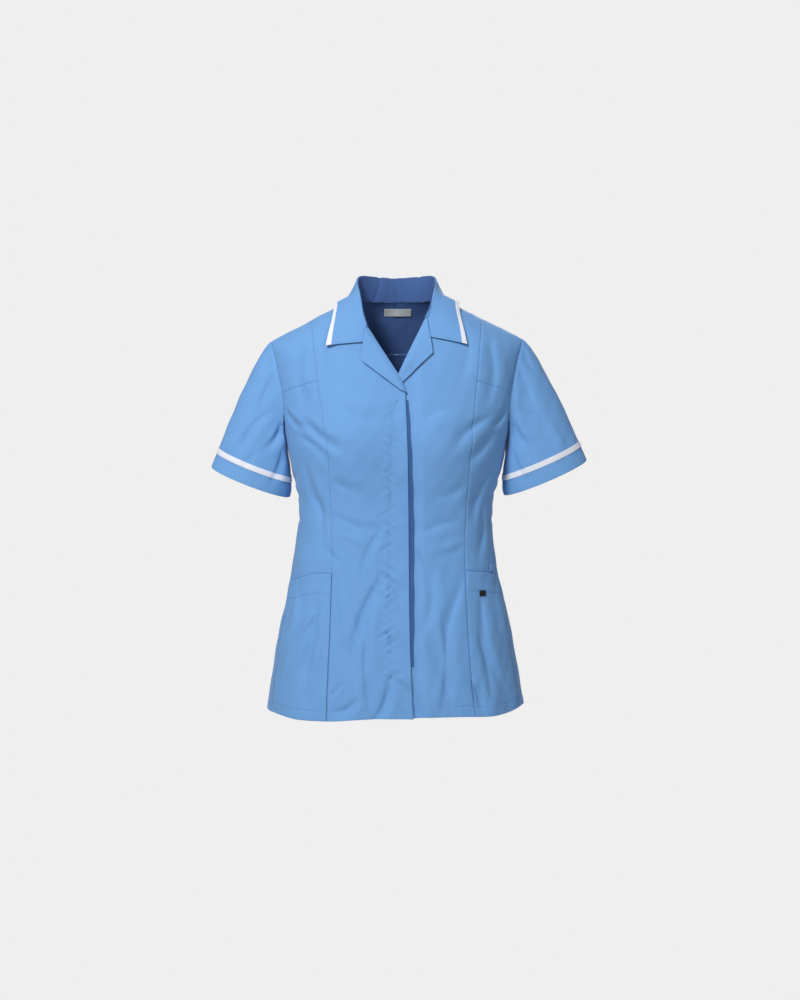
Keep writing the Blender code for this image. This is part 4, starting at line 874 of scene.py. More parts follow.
# Stitches of one length at an even pitch along a line, lifted off the cloth
def addStitches(kind, points, normals, lift=0.15, pitch=None):
    points, normals = np.asarray(points, float), np.asarray(normals, float)
    run = running(points)
    at = np.arange(0.5 * sewing["pitch"], run[-1], pitch or sewing["pitch"])

    def read(rows, where):
        return np.stack([np.interp(where, run, rows[:, k]) for k in range(3)], -1)

    ends = [read(points, at + half) for half in (-sewing["length"] / 2, sewing["length"] / 2)]
    normal = unit(read(normals, at))
    stitchRuns[kind].append((ends[0] + normal * lift, ends[1] + normal * lift, normal))


# Each stitch is a six-sided bead along its chord: radius r*sqrt(1 - (2t - 1)^4), bowed outwards
def buildStitches(name, kind, material):
    starts, stops, normals = (np.concatenate([run[k] for run in stitchRuns[kind]])
                              for k in range(3))
    way = unit(stops - starts)
    side = unit(np.cross(way, normals))
    stations, sides = 5, 6
    t = np.linspace(0.0, 1.0, stations)
    angle = np.arange(sides) * 2 * math.pi / sides
    radius = sewing["radius"] * (0.3 + 0.7 * np.sqrt(1 - (2 * t - 1) ** 4))
    lift = 0.12 * np.sin(math.pi * t) - 0.1
    centre = (starts[:, None] * (1 - t)[None, :, None] + stops[:, None] * t[None, :, None]
              + normals[:, None] * lift[None, :, None])
    ring = (side[:, None, None] * np.cos(angle)[None, None, :, None]
            + normals[:, None, None] * np.sin(angle)[None, None, :, None])
    verts = centre[:, :, None] + ring * radius[None, :, None, None]
    count = len(starts)
    index = np.arange(stations * sides).reshape(stations, sides)
    after = np.roll(index, -1, axis=1)
    quads = np.stack([index[:-1], index[1:], after[1:], after[:-1]], axis=-1).reshape(-1, 4)
    caps = np.array([[0, 1, 2, 3], [0, 3, 4, 5]])
    last = (stations - 1) * sides + np.array([[3, 2, 1, 0], [5, 4, 3, 0]])
    template = np.concatenate([quads, caps, last])
    faces = (template[None] + (np.arange(count) * stations * sides)[:, None, None]).reshape(-1, 4)
    verts = verts.reshape(-1, 3)
    uv = np.stack([verts[:, 0], verts[:, 2]], axis=-1) * 0.001
    slotName = "white_braid" if kind == "white" else "blue_twill"
    return addMesh(name, verts, faces, [material], uv=uv, slotName=slotName)


# Panels of the body

sheets = []
trims = {}      # narrow strips and small tabs that go with a sheet


# Flat size from the piece's own surface: longest row, longest column and the sum of its cells
def hung(piece, points, held="hung", restsOn=("back_yoke",), ring=False):
    up = np.linalg.norm(np.diff(points, axis=0), axis=-1)
    closed = np.concatenate([points, points[:, :1]], axis=1) if ring else points
    across = np.linalg.norm(np.diff(closed, axis=1), axis=-1)
    a, b = closed[1:, 1:] - closed[:-1, :-1], closed[1:, :-1] - closed[:-1, 1:]
    area = np.linalg.norm(np.cross(a, b), axis=-1).sum() / 2 * 1e-6
    width, length = across.sum(axis=1).max() * 0.001, up.sum(axis=0).max() * 0.001
    sheets.append((piece, float(width), float(length), float(min(area, width * length)), held,
                   list(restsOn)))


def declareSheets():
    for piece, width, length, area, held, restsOn in sheets:
        print(f"{piece.name}: {width:.3f} x {length:.3f} m, {area:.4f} m2")


# Irregular ripple along a seam: sines of 13, 7.7 and 23 mm, fading within 7 mm of the line
def seamRipple(distance, run, phase):
    wave = (np.sin(run / 13.0 * waveTurn + phase) + 0.7 * np.sin(run / 7.7 * waveTurn + 2.3 * phase)
            + 0.8 * np.sin(run / 23.0 * waveTurn + 0.6 * phase))
    return 0.14 * wave * np.exp(-(distance / 7.0) ** 2)


# The groove where a turned hem is stitched, with shallow pulls between it and the edge
def hemForm(distance, run, depth):
    groove = -0.5 * np.exp(-((distance - depth) / 1.3) ** 2)
    pulls = 0.24 * np.sin(run / 11.0 * waveTurn + 1.2 * np.sin(run / 41.0))
    pulls = pulls * np.sin(run / 67.0 + 1.0)
    return groove + pulls * np.exp(-((distance - depth * 0.6) / (0.5 * depth)) ** 2)


# The cloth is drawn in beside a seam
def seamSink(distance):
    return cloth["seamDip"] * np.exp(-(distance / cloth["seamReach"]) ** 2)


# Both faces are drawn in at the edge of a fold
def foldDip(distance):
    return 0.5 * np.exp(-(distance / 0.7) ** 2)


# Added thickness of a turned hem: a second layer up to its end, thin at the fold itself
def turnedHem(distance, end):
    layer = (cloth["turnedEdge"] - cloth["thickness"]) * ease((end - distance) / 2.0)
    return layer - 0.9 * np.exp(-(distance / 0.6) ** 2)


# outside = extra + creases - dips at seams; edges are named bottom, right, top, left as
# s (seam), h (turned hem), f (folded edge) or n (neither)
def addPanel(name, grid, edges, extra=0.0, armEdge=None, layers=None, **rest):
    points, normals = bodyAt(grid)
    if armEdge is not None:
        rows, edgeColumn, sign, places = armEdge
        normals[rows, edgeColumn] = armNormals(sign, places)
    distances = edgeDistances(points)
    out = calmed(bodyCrease(points, normals), points)
    thickness = np.full(points.shape[:2], cloth["thickness"])
    height, around = points[..., 2], np.degrees(grid[..., 0]) * cloth["perDegree"]
    for kind, distance, run in zip(edges, distances, (around, height, around, height)):
        if kind == "s":
            out -= seamSink(distance)
            out += seamRipple(distance, run, 1.7)
        if kind == "h":
            out += hemForm(distance, run, cloth["hemDepth"])
            out -= foldDip(distance)
            thickness += turnedHem(distance, cloth["hemDepth"] + 1.5)
        if kind == "f":
            out -= foldDip(distance)
            thickness += 0.8 * ease((30.0 - distance) / 2.0)
            thickness -= 0.8 * np.exp(-(distance / 0.6) ** 2)
    if layers is not None:
        out = out + layers(points, distances)
    moved = points.copy()
    drawn = [edge for edge, kind in zip("brtl", edges) if kind in "sf"]
    drawIn(moved, points, drawn, cloth["seamGap"])
    outside = out + extra
    piece = addCloth(name, moved, normals, outside, thickness, [twill, twillPaintedShade], **rest)
    return piece, moved + normals * outside[..., None], normals


# cells and the size in millimetres that they share, up and across
panels = {
    "front": {"up": (224, 854.0), -1: (56, 137.0), 1: (52, 128.0)},
    "sideFront": {"up": (144, 549.0), "across": (34, 85.0)},
    "chest": {"up": (60, 115.0), "across": (30, 62.0)},
    "backYoke": {"up": (40, 85.0), "acrossSize": 440.0},
    "back": {"up": (150, 600.0), "across": (58, 170.0)},
    "sleeve": {"up": (76, 250.0)},
    "pocket": {"up": (84, 232.0), "across": (36, 88.0)},
    "lapel": {"pointsAlong": 90, "across": (26, 45.0)},
}
hemRows = (0.5, 1.1, 2.0, 3.5, 5.5, 8.0, 10.5, 13.0, 14.6, 15.5, 16.5, 17.5, 18.4, 20.0, 23.0)
frontStitch = {
    # level, x of the line that holds the hidden fastening
    "line": [(-186.0, -3.4), (-205.0, -4.5), (-240.0, -7.5), (-300.0, -9.5), (-460.0, -10.5),
             (-560.0, -9.5), (-628.0, -8.5)],
    "top": -184.0, "bottom": -628.0,
    "fastenings": (-215.0, -300.0, -385.0, -470.0, -555.0, -628.0),
    # top, bottom and sideways slant of the two bar tacks
    "tacks": ((-178.0, -188.0, 0.55), (-622.0, -630.0, 0.0)),
}


# x of the hidden fastening's line of sewing at a level, read from its table
def stitchX(z):
    return tableAt(frontStitch["line"], z)


# Groove along the hidden fastening's line, slanting pulls that fan out from it, and a soft bump
# of height 1.2*exp(-r^2) over each hidden fastening
def frontPulls(points, distances):
    x, z = points[..., 0], points[..., 2]
    held = ease((frontStitch["top"] + 4 - z) / 8.0) * ease((z - frontStitch["bottom"] + 4) / 8.0)
    off = x - stitchX(z)
    groove = -1.0 * np.exp(-(off / 1.8) ** 2) * held
    first = z - 0.75 * off + 5.0 * np.sin(z / 31.0)
    second = z + 0.6 * off + 6.0 * np.sin(z / 43.0 + 1.0)
    some = 0.5 + 0.5 * np.sin(z / 37.0 + 1.6 * np.sin(z / 17.0))
    waves = (some * (np.sin(first / 13.0 * waveTurn) + 0.7 * np.sin(first / 21.7 * waveTurn + 1.0))
             + (1 - some) * 1.3 * np.sin(second / 15.5 * waveTurn + 0.7)
             + 1.1 * np.sin(first / 9.3 * waveTurn + 0.4) * np.exp(-((off + 2.0) / 7.0) ** 2))
    waves *= 0.45 + 0.55 * np.sin(z / 53.0 + 0.9 * np.sin(z / 29.0)) ** 2
    strength = 0.85 + 0.8 * ease((-320.0 - z) / 160.0)
    fan = strength * waves * np.exp(-((off + 3.0) / 15.0) ** 2)
    fan = fan * (0.35 + 0.65 * ease(np.abs(off) / 3.0))
    bumps = np.zeros_like(x)
    for level in frontStitch["fastenings"]:
        r2 = ((x - stitchX(z) - 14.0) / 13.0) ** 2 + ((z - level) / 12.0) ** 2
        bumps += 1.2 * np.exp(-r2)
    return groove + fan * held + bumps * ease((distances[1] - 1.0) / 6.0)


# A patch between princess seam, shoulder, neck, roll line, front edge and hem. The right one has
# the hidden fastening's sewing and pulls, and the left one sinks under it
def makeFront(sign):
    seam, neck = princess(sign), neckFront(sign)
    low = np.linspace(0.0, 1.0, cells["lower"] + 1)[:-1]
    z = hemLowest + (neck[0, 1] - hemLowest) * low
    edgeX = frontEdgeX(z)
    if sign > 0:
        edgeX = edgeX - (frontEdgeX(seams["breakLevel"]) - leftRollFoot()[0])
    edge = np.concatenate([chart(edgeX, z), neck])
    edge[0] = toHem(edge[0])
    seamTop = seams["princess"][0][1 if sign < 0 else 2]
    rows = graded(*panels["front"]["up"], hemRows, (0.5, 1.1, 2.0))
    if sign < 0:
        left, right, top = seam, edge, shoulder(seamTop, -shape["neckPointX"], 48)
        columns = graded(*panels["front"][sign], end=(0.4, 0.9, 1.6, 2.4, 3.6))
        edges = "hfss"
    else:
        left, right, top = edge, seam, shoulder(shape["neckPointX"], seamTop, 48)
        columns = graded(*panels["front"][sign])
        edges = "hssn"
    grid = patch(left, right, hemLine(left[0], right[0], 48), top, rows, columns)
    if sign < 0:
        piece, surface, normals = addPanel("frontRight", grid, edges, layers=frontPulls,
                                           replaces=["front_right"])
    else:
        x = body(grid[..., 0], grid[..., 1])[..., 0]
        piece, surface, normals = addPanel("frontLeft", grid, edges, leftSink(x, grid[..., 1]),
                                           replaces=["front_left"])
    hung(piece, surface)
    hemRow = rowAt(edgeDistances(surface)[0], 20, cloth["hemDepth"])
    addStitches("thread", surface[hemRow, 1:-1], normals[hemRow, 1:-1])
    if sign < 0:
        level = np.linspace(frontStitch["top"] - 2, frontStitch["bottom"] + 2, 150)
        sewOnto("thread", surface, normals, stitchX(level), level)
        for top, bottom, slant in frontStitch["tacks"]:
            level = np.linspace(top, bottom, 12)
            for shift in (-0.7, 0.0, 0.7):
                x = stitchX(level) + shift + (level - bottom) * slant
                sewOnto("thread", surface, normals, x, level, 0.3)


# Stitches along points given by x and z, dropped onto a surface by its three nearest points, each
# weighted by 1/(0.05 + distance)
def sewOnto(kind, surface, normals, x, z, lift=0.15):
    flat = surface.reshape(-1, 3)
    rows = []
    for shift in range(0, len(x), 40):
        part = slice(shift, shift + 40)
        square = (flat[None, :, 0] - x[part, None]) ** 2 + (flat[None, :, 2] - z[part, None]) ** 2
        rows.append(np.argpartition(square, 3, axis=1)[:, :3])
    near = np.concatenate(rows)
    away = np.hypot(flat[near][..., 0] - x[:, None], flat[near][..., 2] - z[:, None])
    weight = 1.0 / (0.05 + away)
    weight = (weight / weight.sum(1, keepdims=True))[..., None]
    points = (flat[near] * weight).sum(1)
    points[:, 0], points[:, 2] = x, z
    normal = unit((normals.reshape(-1, 3)[near] * weight).sum(1))
    addStitches(kind, points, normal, lift)


# depth(z)*exp(-(distance/4)^2): the front sinks towards the side seam, most beside the pockets
def sideSink(points, distance):
    z = points[..., 2]
    depth = (0.5 + 0.9 * ease((-470.0 - z) / 60.0)) * ease((-250.0 - z) / 40.0)
    return depth * ease((z + 700.0) / 30.0) * np.exp(-(distance / 4.0) ** 2)


# A patch between princess seam, chest seam, armhole, side seam and hem
def makeSideFront(sign):
    seam = princess(sign)[:cells["lower"] + 1]
    front, _ = armhole(sign)
    outer = np.concatenate([sideSeam(sign), front[:cells["upper"] - 1:-1][1:]])
    left, right = (outer, seam) if sign < 0 else (seam, outer)
    rows = graded(*panels["sideFront"]["up"], hemRows)
    columns = graded(*panels["sideFront"]["across"])
    grid = patch(left, right, hemLine(left[0], right[0], 30), np.linspace(left[-1], right[-1], 31),
                 rows, columns)
    index = rows * cells["lower"]
    start = cells["lower"] - cells["armLower"]
    arm = np.nonzero(index >= start)[0]
    name = sideName(sign)
    piece, surface, _ = addPanel(
        "sideFront" + name, grid, "hsss",
        layers=lambda points, distances: -sideSink(points, distances[3 if sign < 0 else 1]),
        armEdge=(arm, 0 if sign < 0 else -1, sign, 2 * start - index[arm]),
        replaces=["side_front_" + name.lower()])
    hung(piece, surface, restsOn=["chest_" + name.lower()])


# A patch between chest seam, princess seam, shoulder and armhole
def makeChest(sign):
    seam = princess(sign)[cells["lower"]:]
    front, _ = armhole(sign)
    arm = front[cells["upper"]::-1]
    left, right = (arm, seam) if sign < 0 else (seam, arm)
    ends = body(left[-1, 0], left[-1, 1])[0], body(right[-1, 0], right[-1, 1])[0]
    rows = graded(*panels["chest"]["up"])
    columns = graded(*panels["chest"]["across"])
    bottom, top = np.linspace(left[0], right[0], 31), shoulder(*ends, 30)
    grid = patch(left, right, bottom, top, rows, columns)
    name = sideName(sign)
    piece, surface, _ = addPanel(
        "chest" + name, grid, "ssss",
        armEdge=(np.arange(len(rows)), 0 if sign < 0 else -1, sign,
                 cells["upper"] * (1.0 - rows)),
        replaces=["chest_" + name.lower()])
    hung(piece, surface)


# A patch round the back between yoke seam, armholes, shoulder line and neck; creases fade within
# 10 mm of the shoulder line and neck
def makeBackYoke():
    leftArm, rightArm = unwrap(armhole(1)[1]), unwrap(armhole(-1)[1])
    left, right = leftArm[cells["yoke"]::-1], rightArm[cells["yoke"]::-1]
    _, seamRight, seamLeft = seams["princess"][0]
    neckX = shape["neckPointX"]
    tips = body(*left[-1])[0], body(*right[-1])[0]
    top = unwrap(np.concatenate([
        shoulder(tips[0], seamLeft, 30, -1)[:-1], shoulder(seamLeft, neckX, 48, -1)[:-1],
        neckBack()[::-1],
        shoulder(-neckX, seamRight, 48, -1)[1:], shoulder(seamRight, tips[1], 30, -1)[1:]]))
    top[0], top[-1] = left[-1], right[-1]
    angle = np.linspace(left[0, 0], right[0, 0], len(top))
    bottom = np.stack([angle, yokeLevel(angle, yokeEnds())], axis=-1)
    rows = graded(*panels["backYoke"]["up"])
    columns = graded(len(top) - 1, panels["backYoke"]["acrossSize"], (0.5, 1.1), (0.5, 1.1))
    grid = patch(left, right, bottom, top, rows, columns)
    points, normals = bodyAt(grid)
    places = ringSize - cells["yoke"] * (1.0 - rows)
    normals[:, 0], normals[:, -1] = armNormals(1, places), armNormals(-1, places)
    distances = edgeDistances(points)
    out = calmed(bodyCrease(points, normals), points)
    out *= ease(distances[2] / 10.0)
    for distance, run in zip(distances, (points[..., 0], points[..., 2]) * 2):
        out -= seamSink(distance)
        out += seamRipple(distance, run, 0.9)
    moved = points.copy()
    drawIn(moved, points, "brtl", cloth["seamGap"])
    piece = addCloth("backYoke", moved, normals, out, cloth["thickness"], [twill, twillPaintedShade],
                     replaces=["back_yoke"])
    hung(piece, moved, restsOn=["front_right", "front_left"])
    surface = moved + normals * out[..., None]
    inside = surface - normals * cloth["thickness"]
    # a line of stitching above the yoke seam, on both faces; the inside one in the darker thread as
    # painted shade
    row = rowAt(distances[0], 100, 4.0)
    addStitches("thread", surface[row, 2:-2], normals[row, 2:-2])
    addStitches("shade", inside[row, 2:-2], -normals[row, 2:-2])
    # two lines below the neck seam inside, in the darker thread as painted shade
    for distance in (3.2, 6.0):
        row = rowAt(distances[2], len(columns) // 2, distance)
        middle = np.abs(points[row, :, 0]) < shape["neckPointX"] - 4
        addStitches("shade", inside[row, middle], -normals[row, middle])


# The back hangs from the yoke with an inverted pleat in its middle: way across, depth inwards
pleat = {
    "path": [(-34, 0), (-26, 0), (-18, 0), (-11, 0), (-6, 0), (-3, 0.05), (-1.4, 0.3), (-0.7, 1.1),
             (-1.1, 1.9), (-2.6, 2.3), (-6, 2.4), (-11, 2.4), (-15.5, 2.4), (-17.6, 2.7),
             (-18.3, 3.5), (-17.8, 4.3), (-16, 4.7), (-12, 4.8), (-7, 4.8), (-3, 4.8), (0, 4.8)],
    "open": 7.0,       # how far each lip has drawn back at the hem
}


# Patches from each side seam and armhole to the pleat; left (1) first, then right (-1)
def backHalves(rows):
    sides = {sign: unwrap(np.concatenate([sideSeam(sign),
                                          armhole(sign)[1][-2:cells["yoke"] - 1:-1]]))
             for sign in (1, -1)}
    count = len(sides[1])
    hemMiddle = float(hemLevel(math.pi))
    z = hemMiddle + (seams["yokeLevel"] - hemMiddle) * np.linspace(0.0, 1.0, count)
    grids, points, normals = [], [], []
    for sign in (1, -1):
        middle = unwrap(chart(np.full(count, -sign * pleat["path"][0][0]), z, -1))
        middle[0] = toHem(middle[0])
        left, right = (sides[1], middle) if sign > 0 else (middle, sides[-1])
        left, right = left.copy(), right.copy()
        angle = np.linspace(left[-1, 0], right[-1, 0], 49)
        top = np.stack([angle, yokeLevel(angle, yokeEnds())], axis=-1)
        left[-1], right[-1] = top[0], top[-1]
        plainSide = {"end": ()} if sign > 0 else {"start": ()}
        columns = graded(*panels["back"]["across"], **plainSide)
        grid = patch(left, right, hemLine(left[0], right[0], 48), top, rows, columns)
        halfPoints, halfNormals = bodyAt(grid)
        index = rows * (count - 1)
        arm = np.nonzero(index >= cells["lower"] - cells["armLower"])[0]
        halfNormals[arm, 0 if sign > 0 else -1] = armNormals(sign, index[arm])
        grids.append(grid)
        points.append(halfPoints)
        normals.append(halfNormals)
    return grids, points, normals


# The pleat's path on the body: its lips opened towards the hem, its depth along the inward normal
def foldPleat(levelsUp):
    half = np.array(pleat["path"], float)
    path = np.concatenate([half, half[-2::-1] * [-1, 1]])
    lip = ease((-260.0 - levelsUp) / 440.0)[:, None] * pleat["open"]
    near = np.exp(-(path[:, 0] / 9.0) ** 2) * (path[:, 1] < 2.35)
    across = -(path[None, :, 0] + np.sign(path[None, :, 0]) * near[None] * lip)
    depth = np.broadcast_to(path[None, :, 1] + 0.5, across.shape)
    base, normals = bodyAt(chart(across, np.broadcast_to(levelsUp[:, None], across.shape), -1))
    folded = base - normals * depth[..., None]
    return [part[:, 1:-1] for part in (base, normals, folded, gridNormals(folded))]


# Both patches and the pleat as one grid; outside = 0.5 + creases + hem - dips at the seams
def makeBack():
    rows = graded(*panels["back"]["up"], hemRows)
    grids, points, normals = backHalves(rows)
    base, baseNormals, folded, foldedNormals = foldPleat(grids[0][:, -1, 1])
    columnsLeft = points[0].shape[1]
    allPoints = np.concatenate([points[0] - normals[0] * 0.5, folded,
                                points[1] - normals[1] * 0.5], axis=1)
    allNormals = np.concatenate([normals[0], foldedNormals, normals[1]], axis=1)
    plain = np.concatenate([points[0], base, points[1]], axis=1)
    plainNormals = np.concatenate([normals[0], baseNormals, normals[1]], axis=1)
    shift = calmed(bodyCrease(plain, plainNormals), plain)
    fromBottom, fromRight, fromTop, fromLeft = edgeDistances(plain)
    around = np.unwrap(np.arctan2(plain[..., 0], plain[..., 1]), axis=1) * 160.0
    shift += hemForm(fromBottom, around, cloth["hemDepth"])
    shift -= seamSink(fromTop)
    below = ease((-470.0 - plain[..., 2]) / 60.0)
    for distance in (fromLeft, fromRight):
        shift += (0.3 * below - cloth["seamDip"] * (1 - below)) * np.exp(-(distance / 5.0) ** 2)
        shift += seamRipple(distance, plain[..., 2], 2.6)
    shift += seamRipple(fromTop, around, 0.4)
    moved = allPoints + plainNormals * shift[..., None]
    drawIn(moved, plain, "rtl", cloth["seamGap"])
    piece = addCloth("backPanel", moved, allNormals, 0.5, cloth["thickness"], [twill, twillPaintedShade],
                     replaces=["back"])
    hung(piece, moved)
    row = rowAt(fromBottom, 20, cloth["hemDepth"])
    for part in (slice(1, columnsLeft + 4), slice(-columnsLeft - 4, -1)):
        addStitches("thread", (moved + allNormals * 0.5)[row, part], allNormals[row, part])


# Sleeves and their braid

sleeve = {"braidAbove": 26.0, "braidWidth": 9.5, "braidThick": 0.8, "hem": 19.0}


# outside = creases*(0.45 + 0.55*ease(distance from the cuff/60)) + fine gathers at the head
def sleeveForm(frame, share, sign, bottom=0.0):
    points, normals = sleeveSurface(frame, share), sleeveNormal(frame, share, sign)
    fromCuff = running(points) + bottom
    around = np.cumsum(np.linalg.norm(np.diff(points, axis=1, append=points[:, :1]), axis=-1),
                       axis=1)
    out = calmed(sleeveCrease(points, normals), points)
    out *= 0.45 + 0.55 * ease(fromCuff / 60.0)
    head = np.exp(-((np.cos(frame["turn"]) - 1.0) / 0.5) ** 2)[None]
    gathers = 0.32 * np.sin(around / 9.5 * waveTurn + np.sin(around / 31.0) * 2.0)
    out += head * gathers * np.exp(-((fromArmhole(points) - 5.0) / 5.0) ** 2)
    return points, normals, out, fromCuff, around


# Shares whose points lie at given distances up from the cuff, measured along each curve
def shareAbove(frame, distances):
    t = np.linspace(1.0, 0.55, 60)[:, None]
    run = running(sleeveSurface(frame, t))
    low = (run[None] <= distances[:, None, None]).sum(axis=1) - 1
    low = np.clip(low, 0, len(t) - 2)
    ahead = np.take_along_axis(run, low + 1, axis=0)
    behind = np.take_along_axis(run, low, axis=0)
    part = (distances[:, None] - behind) / (ahead - behind)
    return t[low, 0] + part * (t[1, 0] - t[0, 0])


# outside = sleeveForm's - dip at the armhole + hem; two layers thick below the hem's sewing
def makeSleeve(sign):
    frame = sleeveFrames[sign]
    name = sideName(sign)
    share = 1.0 - graded(*panels["sleeve"]["up"], start=(0.5, 1.1, 2.0, 3.5))[:, None]
    points, normals, out, fromCuff, around = sleeveForm(frame, share, sign)
    normals[-1] = frame["seamSleeve"]
    out -= 0.8 * seamSink(fromArmhole(points))
    out += hemForm(fromCuff, around, sleeve["hem"]) * 0.8
    out -= foldDip(fromCuff)
    thickness = cloth["thickness"] + turnedHem(fromCuff, sleeve["hem"] + 1.0)
    if sign > 0:
        points, normals, out = (part[:, ::-1] for part in (points, normals, out))
        thickness = thickness[:, ::-1]
    piece = addCloth("sleeve" + name, points, normals, out, thickness, [twill, twillPaintedShade],
                     ring=True, replaces=["sleeve_" + name.lower()])
    hung(piece, points, ring=True, restsOn=["chest_" + name.lower(), "back_yoke"])


# A strip on the sleeve's own surface between two heights above the cuff, its edges drawn in
def makeSleeveBraid(sign):
    frame = sleeveFrames[sign]
    name = sideName(sign)
    wide = sleeve["braidWidth"]
    across = graded(8, wide, (0.3, 0.7, 1.2), (0.3, 0.7, 1.2)) * wide
    share = shareAbove(frame, sleeve["braidAbove"] + across)
    points, normals, out, fromCuff, around = sleeveForm(frame, share, sign, sleeve["braidAbove"])
    out = out + hemForm(fromCuff, around, sleeve["hem"]) * 0.8
    edge = np.minimum(across, wide - across)[:, None]
    out = out + sleeve["braidThick"] + 0.25 - 0.35 * np.exp(-(edge / 0.5) ** 2)
    out = out - 0.18 * np.exp(-((edge - 1.2) / 0.4) ** 2)
    thick = sleeve["braidThick"] - 0.5 * np.exp(-(edge / 0.4) ** 2)
    surface = points + normals * out[..., None]
    for row in (3, len(across) - 4):
        closed = np.concatenate([surface[row], surface[row, :1]])
        addStitches("white", closed, np.concatenate([normals[row], normals[row, :1]]), 0.05)
    if sign > 0:
        points, normals, out = (part[:, ::-1] for part in (points, normals, out))
    piece = addCloth("sleeveBraid" + name, points, normals, out, thick, [braid], ring=True,
                     slotName="white_braid", replaces=["sleeve_braid_" + name.lower()])
    trims["sleeve" + name] = [piece]


# Collar: rows from the neck seam up the stand, over the crest and down the fall

collar = {
    "roll": 1.8, "clear": 1.3, "trim": 7.5, "thickness": 1.5, "braid": 0.7,
    # rows of the stand, the crest and the fall, and how many of them are drawn in the darker twill
    # as painted shade inside the neck
    "rows": (8, 10, 30), "shaded": 12,
    # the last rows of the fall, in millimetres from the trim's inner edge
    "trimPlaces": (0.35, 0.8, 2.0, 3.8, 5.5, 6.7, 7.15, 7.5),
    "ridgeLift": {"y": -12.0, "reach": 17.0, "height": 3.4},
    "notch": {-1: (-55.0, -83.0), 1: (55.5, -74.5)},
    # share, x, y, z
    "crest": [
        (0.0, -50.5, -76.0, -56.5), (0.2, -57.0, -52.0, -21.0), (0.36, -63.5, -24.0, 7.0),
        (0.52, -67.0, 3.0, 27.0), (0.70, -60.0, 29.0, 38.0), (0.85, -36.0, 47.0, 38.0),
        (1.0, 0.0, 52.5, 35.5),
    ],
    # share, x, way below the shoulder line; in front up to edgeRidge and behind after it
    "edge": [
        (0.0, -116.5, 63.2), (0.22, -107.5, 29.0), (0.4167, -101.0, 0.0), (0.55, -93.0, 11.0),
        (0.70, -73.0, 24.5), (0.85, -38.0, 37.5), (1.0, 0.0, 53.4),
    ],
    "edgeRidge": 0.4168,
}


# Half of the neck seam behind, from the shoulder to the middle
def halfNeckBack(sign):
    line, half = neckBack(), cells["backNeck"]
    return line[:half + 1] if sign < 0 else line[:half - 1:-1]


# Middle surface of half of the collar; columns run from the front end to the middle behind
def collarHalf(sign):
    standRows, crestRows, fallRows = collar["rows"]
    neck = np.concatenate([neckFront(sign)[cells["lapel"]:], halfNeckBack(sign)[1:]])
    share = np.concatenate([np.linspace(0.0, 0.5, cells["neck"] + 1),
                            np.linspace(0.5, 1.0, cells["backNeck"] + 1)[1:]])
    crest = np.stack([tableAt(collar["crest"], share, k) for k in (1, 2, 3)], axis=-1)
    crest = crest * np.array([-sign, 1.0, 1.0])
    edgeX = tableAt(collar["edge"], share) * -sign
    below = np.interp(share, column(collar["edge"], 0), column(collar["edge"], 2))
    below = np.where(share < 0.43, np.maximum(below, 0.05), below)
    frontOrBack = np.where(share < collar["edgeRidge"], 1, -1)
    edgeChart = chart(edgeX, ridgeLevel(edgeX) - below, frontOrBack)
    edge = body(edgeChart[:, 0], edgeChart[:, 1])
    kernel = np.exp(-(np.arange(-6, 7) / 3.0) ** 2)
    kernel /= kernel.sum()
    for k in range(3):       # the edge runs smoothly over the shoulder
        padded = np.pad(edge[:, k], 6, mode="reflect", reflect_type="odd")
        edge[:, k] = np.convolve(padded, kernel, mode="valid")
    neckPoints, seamNormal = bodyAt(neck)
    intoNeck = unit(np.cross(np.gradient(neckPoints, axis=0), seamNormal)) * -sign
    seam = neckPoints - seamNormal * 0.75 + intoNeck * 0.8
    lift = ease((0.34 - share) / 0.34)[:, None]
    crest = crest * (1 - lift) + (seam + seamNormal * 5.2) * lift
    up = unit(crest - seam)
    away = edge - crest
    away = unit(away - np.sum(away * up, axis=-1, keepdims=True) * up)
    roll = collar["roll"]
    top = crest - up * roll - away * roll
    t = np.arange(standRows)[:, None, None] / standRows
    stand = seam + (top - seam) * t + intoNeck * 1.6 * np.sin(math.pi * t)
    turn = (math.pi * np.arange(crestRows + 1) / crestRows)[:, None, None]
    over = crest - up * roll * (1 - np.sin(turn)) - away * roll * np.cos(turn)
    start = restOnBody(over[-1], 0.75 + collar["clear"])
    length = np.linalg.norm(edge - start, axis=-1)
    notch = body(*chart(*collar["notch"][sign]))
    bend = notch - (start[0] + (edge[0] - start[0]) * 0.34)
    fade = ((1.0 - np.clip(share / 0.3, 0.0, 1.0)) ** 2)[None, :, None]
    inner = np.linspace(0.0, 1.0, fallRows + 1)[1:, None] * (1.0 - collar["trim"] / length)[None]
    places = np.array(collar["trimPlaces"])[:, None]
    outer = 1.0 - (collar["trim"] - places) / length[None]
    w = np.concatenate([inner, outer])[..., None]
    hump = np.interp(w, [0.0, 0.34, 1.0], [0.0, 1.0, 0.0])
    fall = start + (edge - start) * w + bend * hump * fade
    ridge = collar["ridgeLift"]
    lifted = ridge["height"] * np.exp(-((fall[..., 1] - ridge["y"]) / ridge["reach"]) ** 2)
    off = 1.4 * np.sin(math.pi * w[..., 0]) + 1.6 * w[..., 0] ** 3
    fall = restOnBody(fall, 0.75 + collar["clear"] + off + lifted)
    return np.concatenate([stand, over[:-1], start[None], fall]), -seamNormal


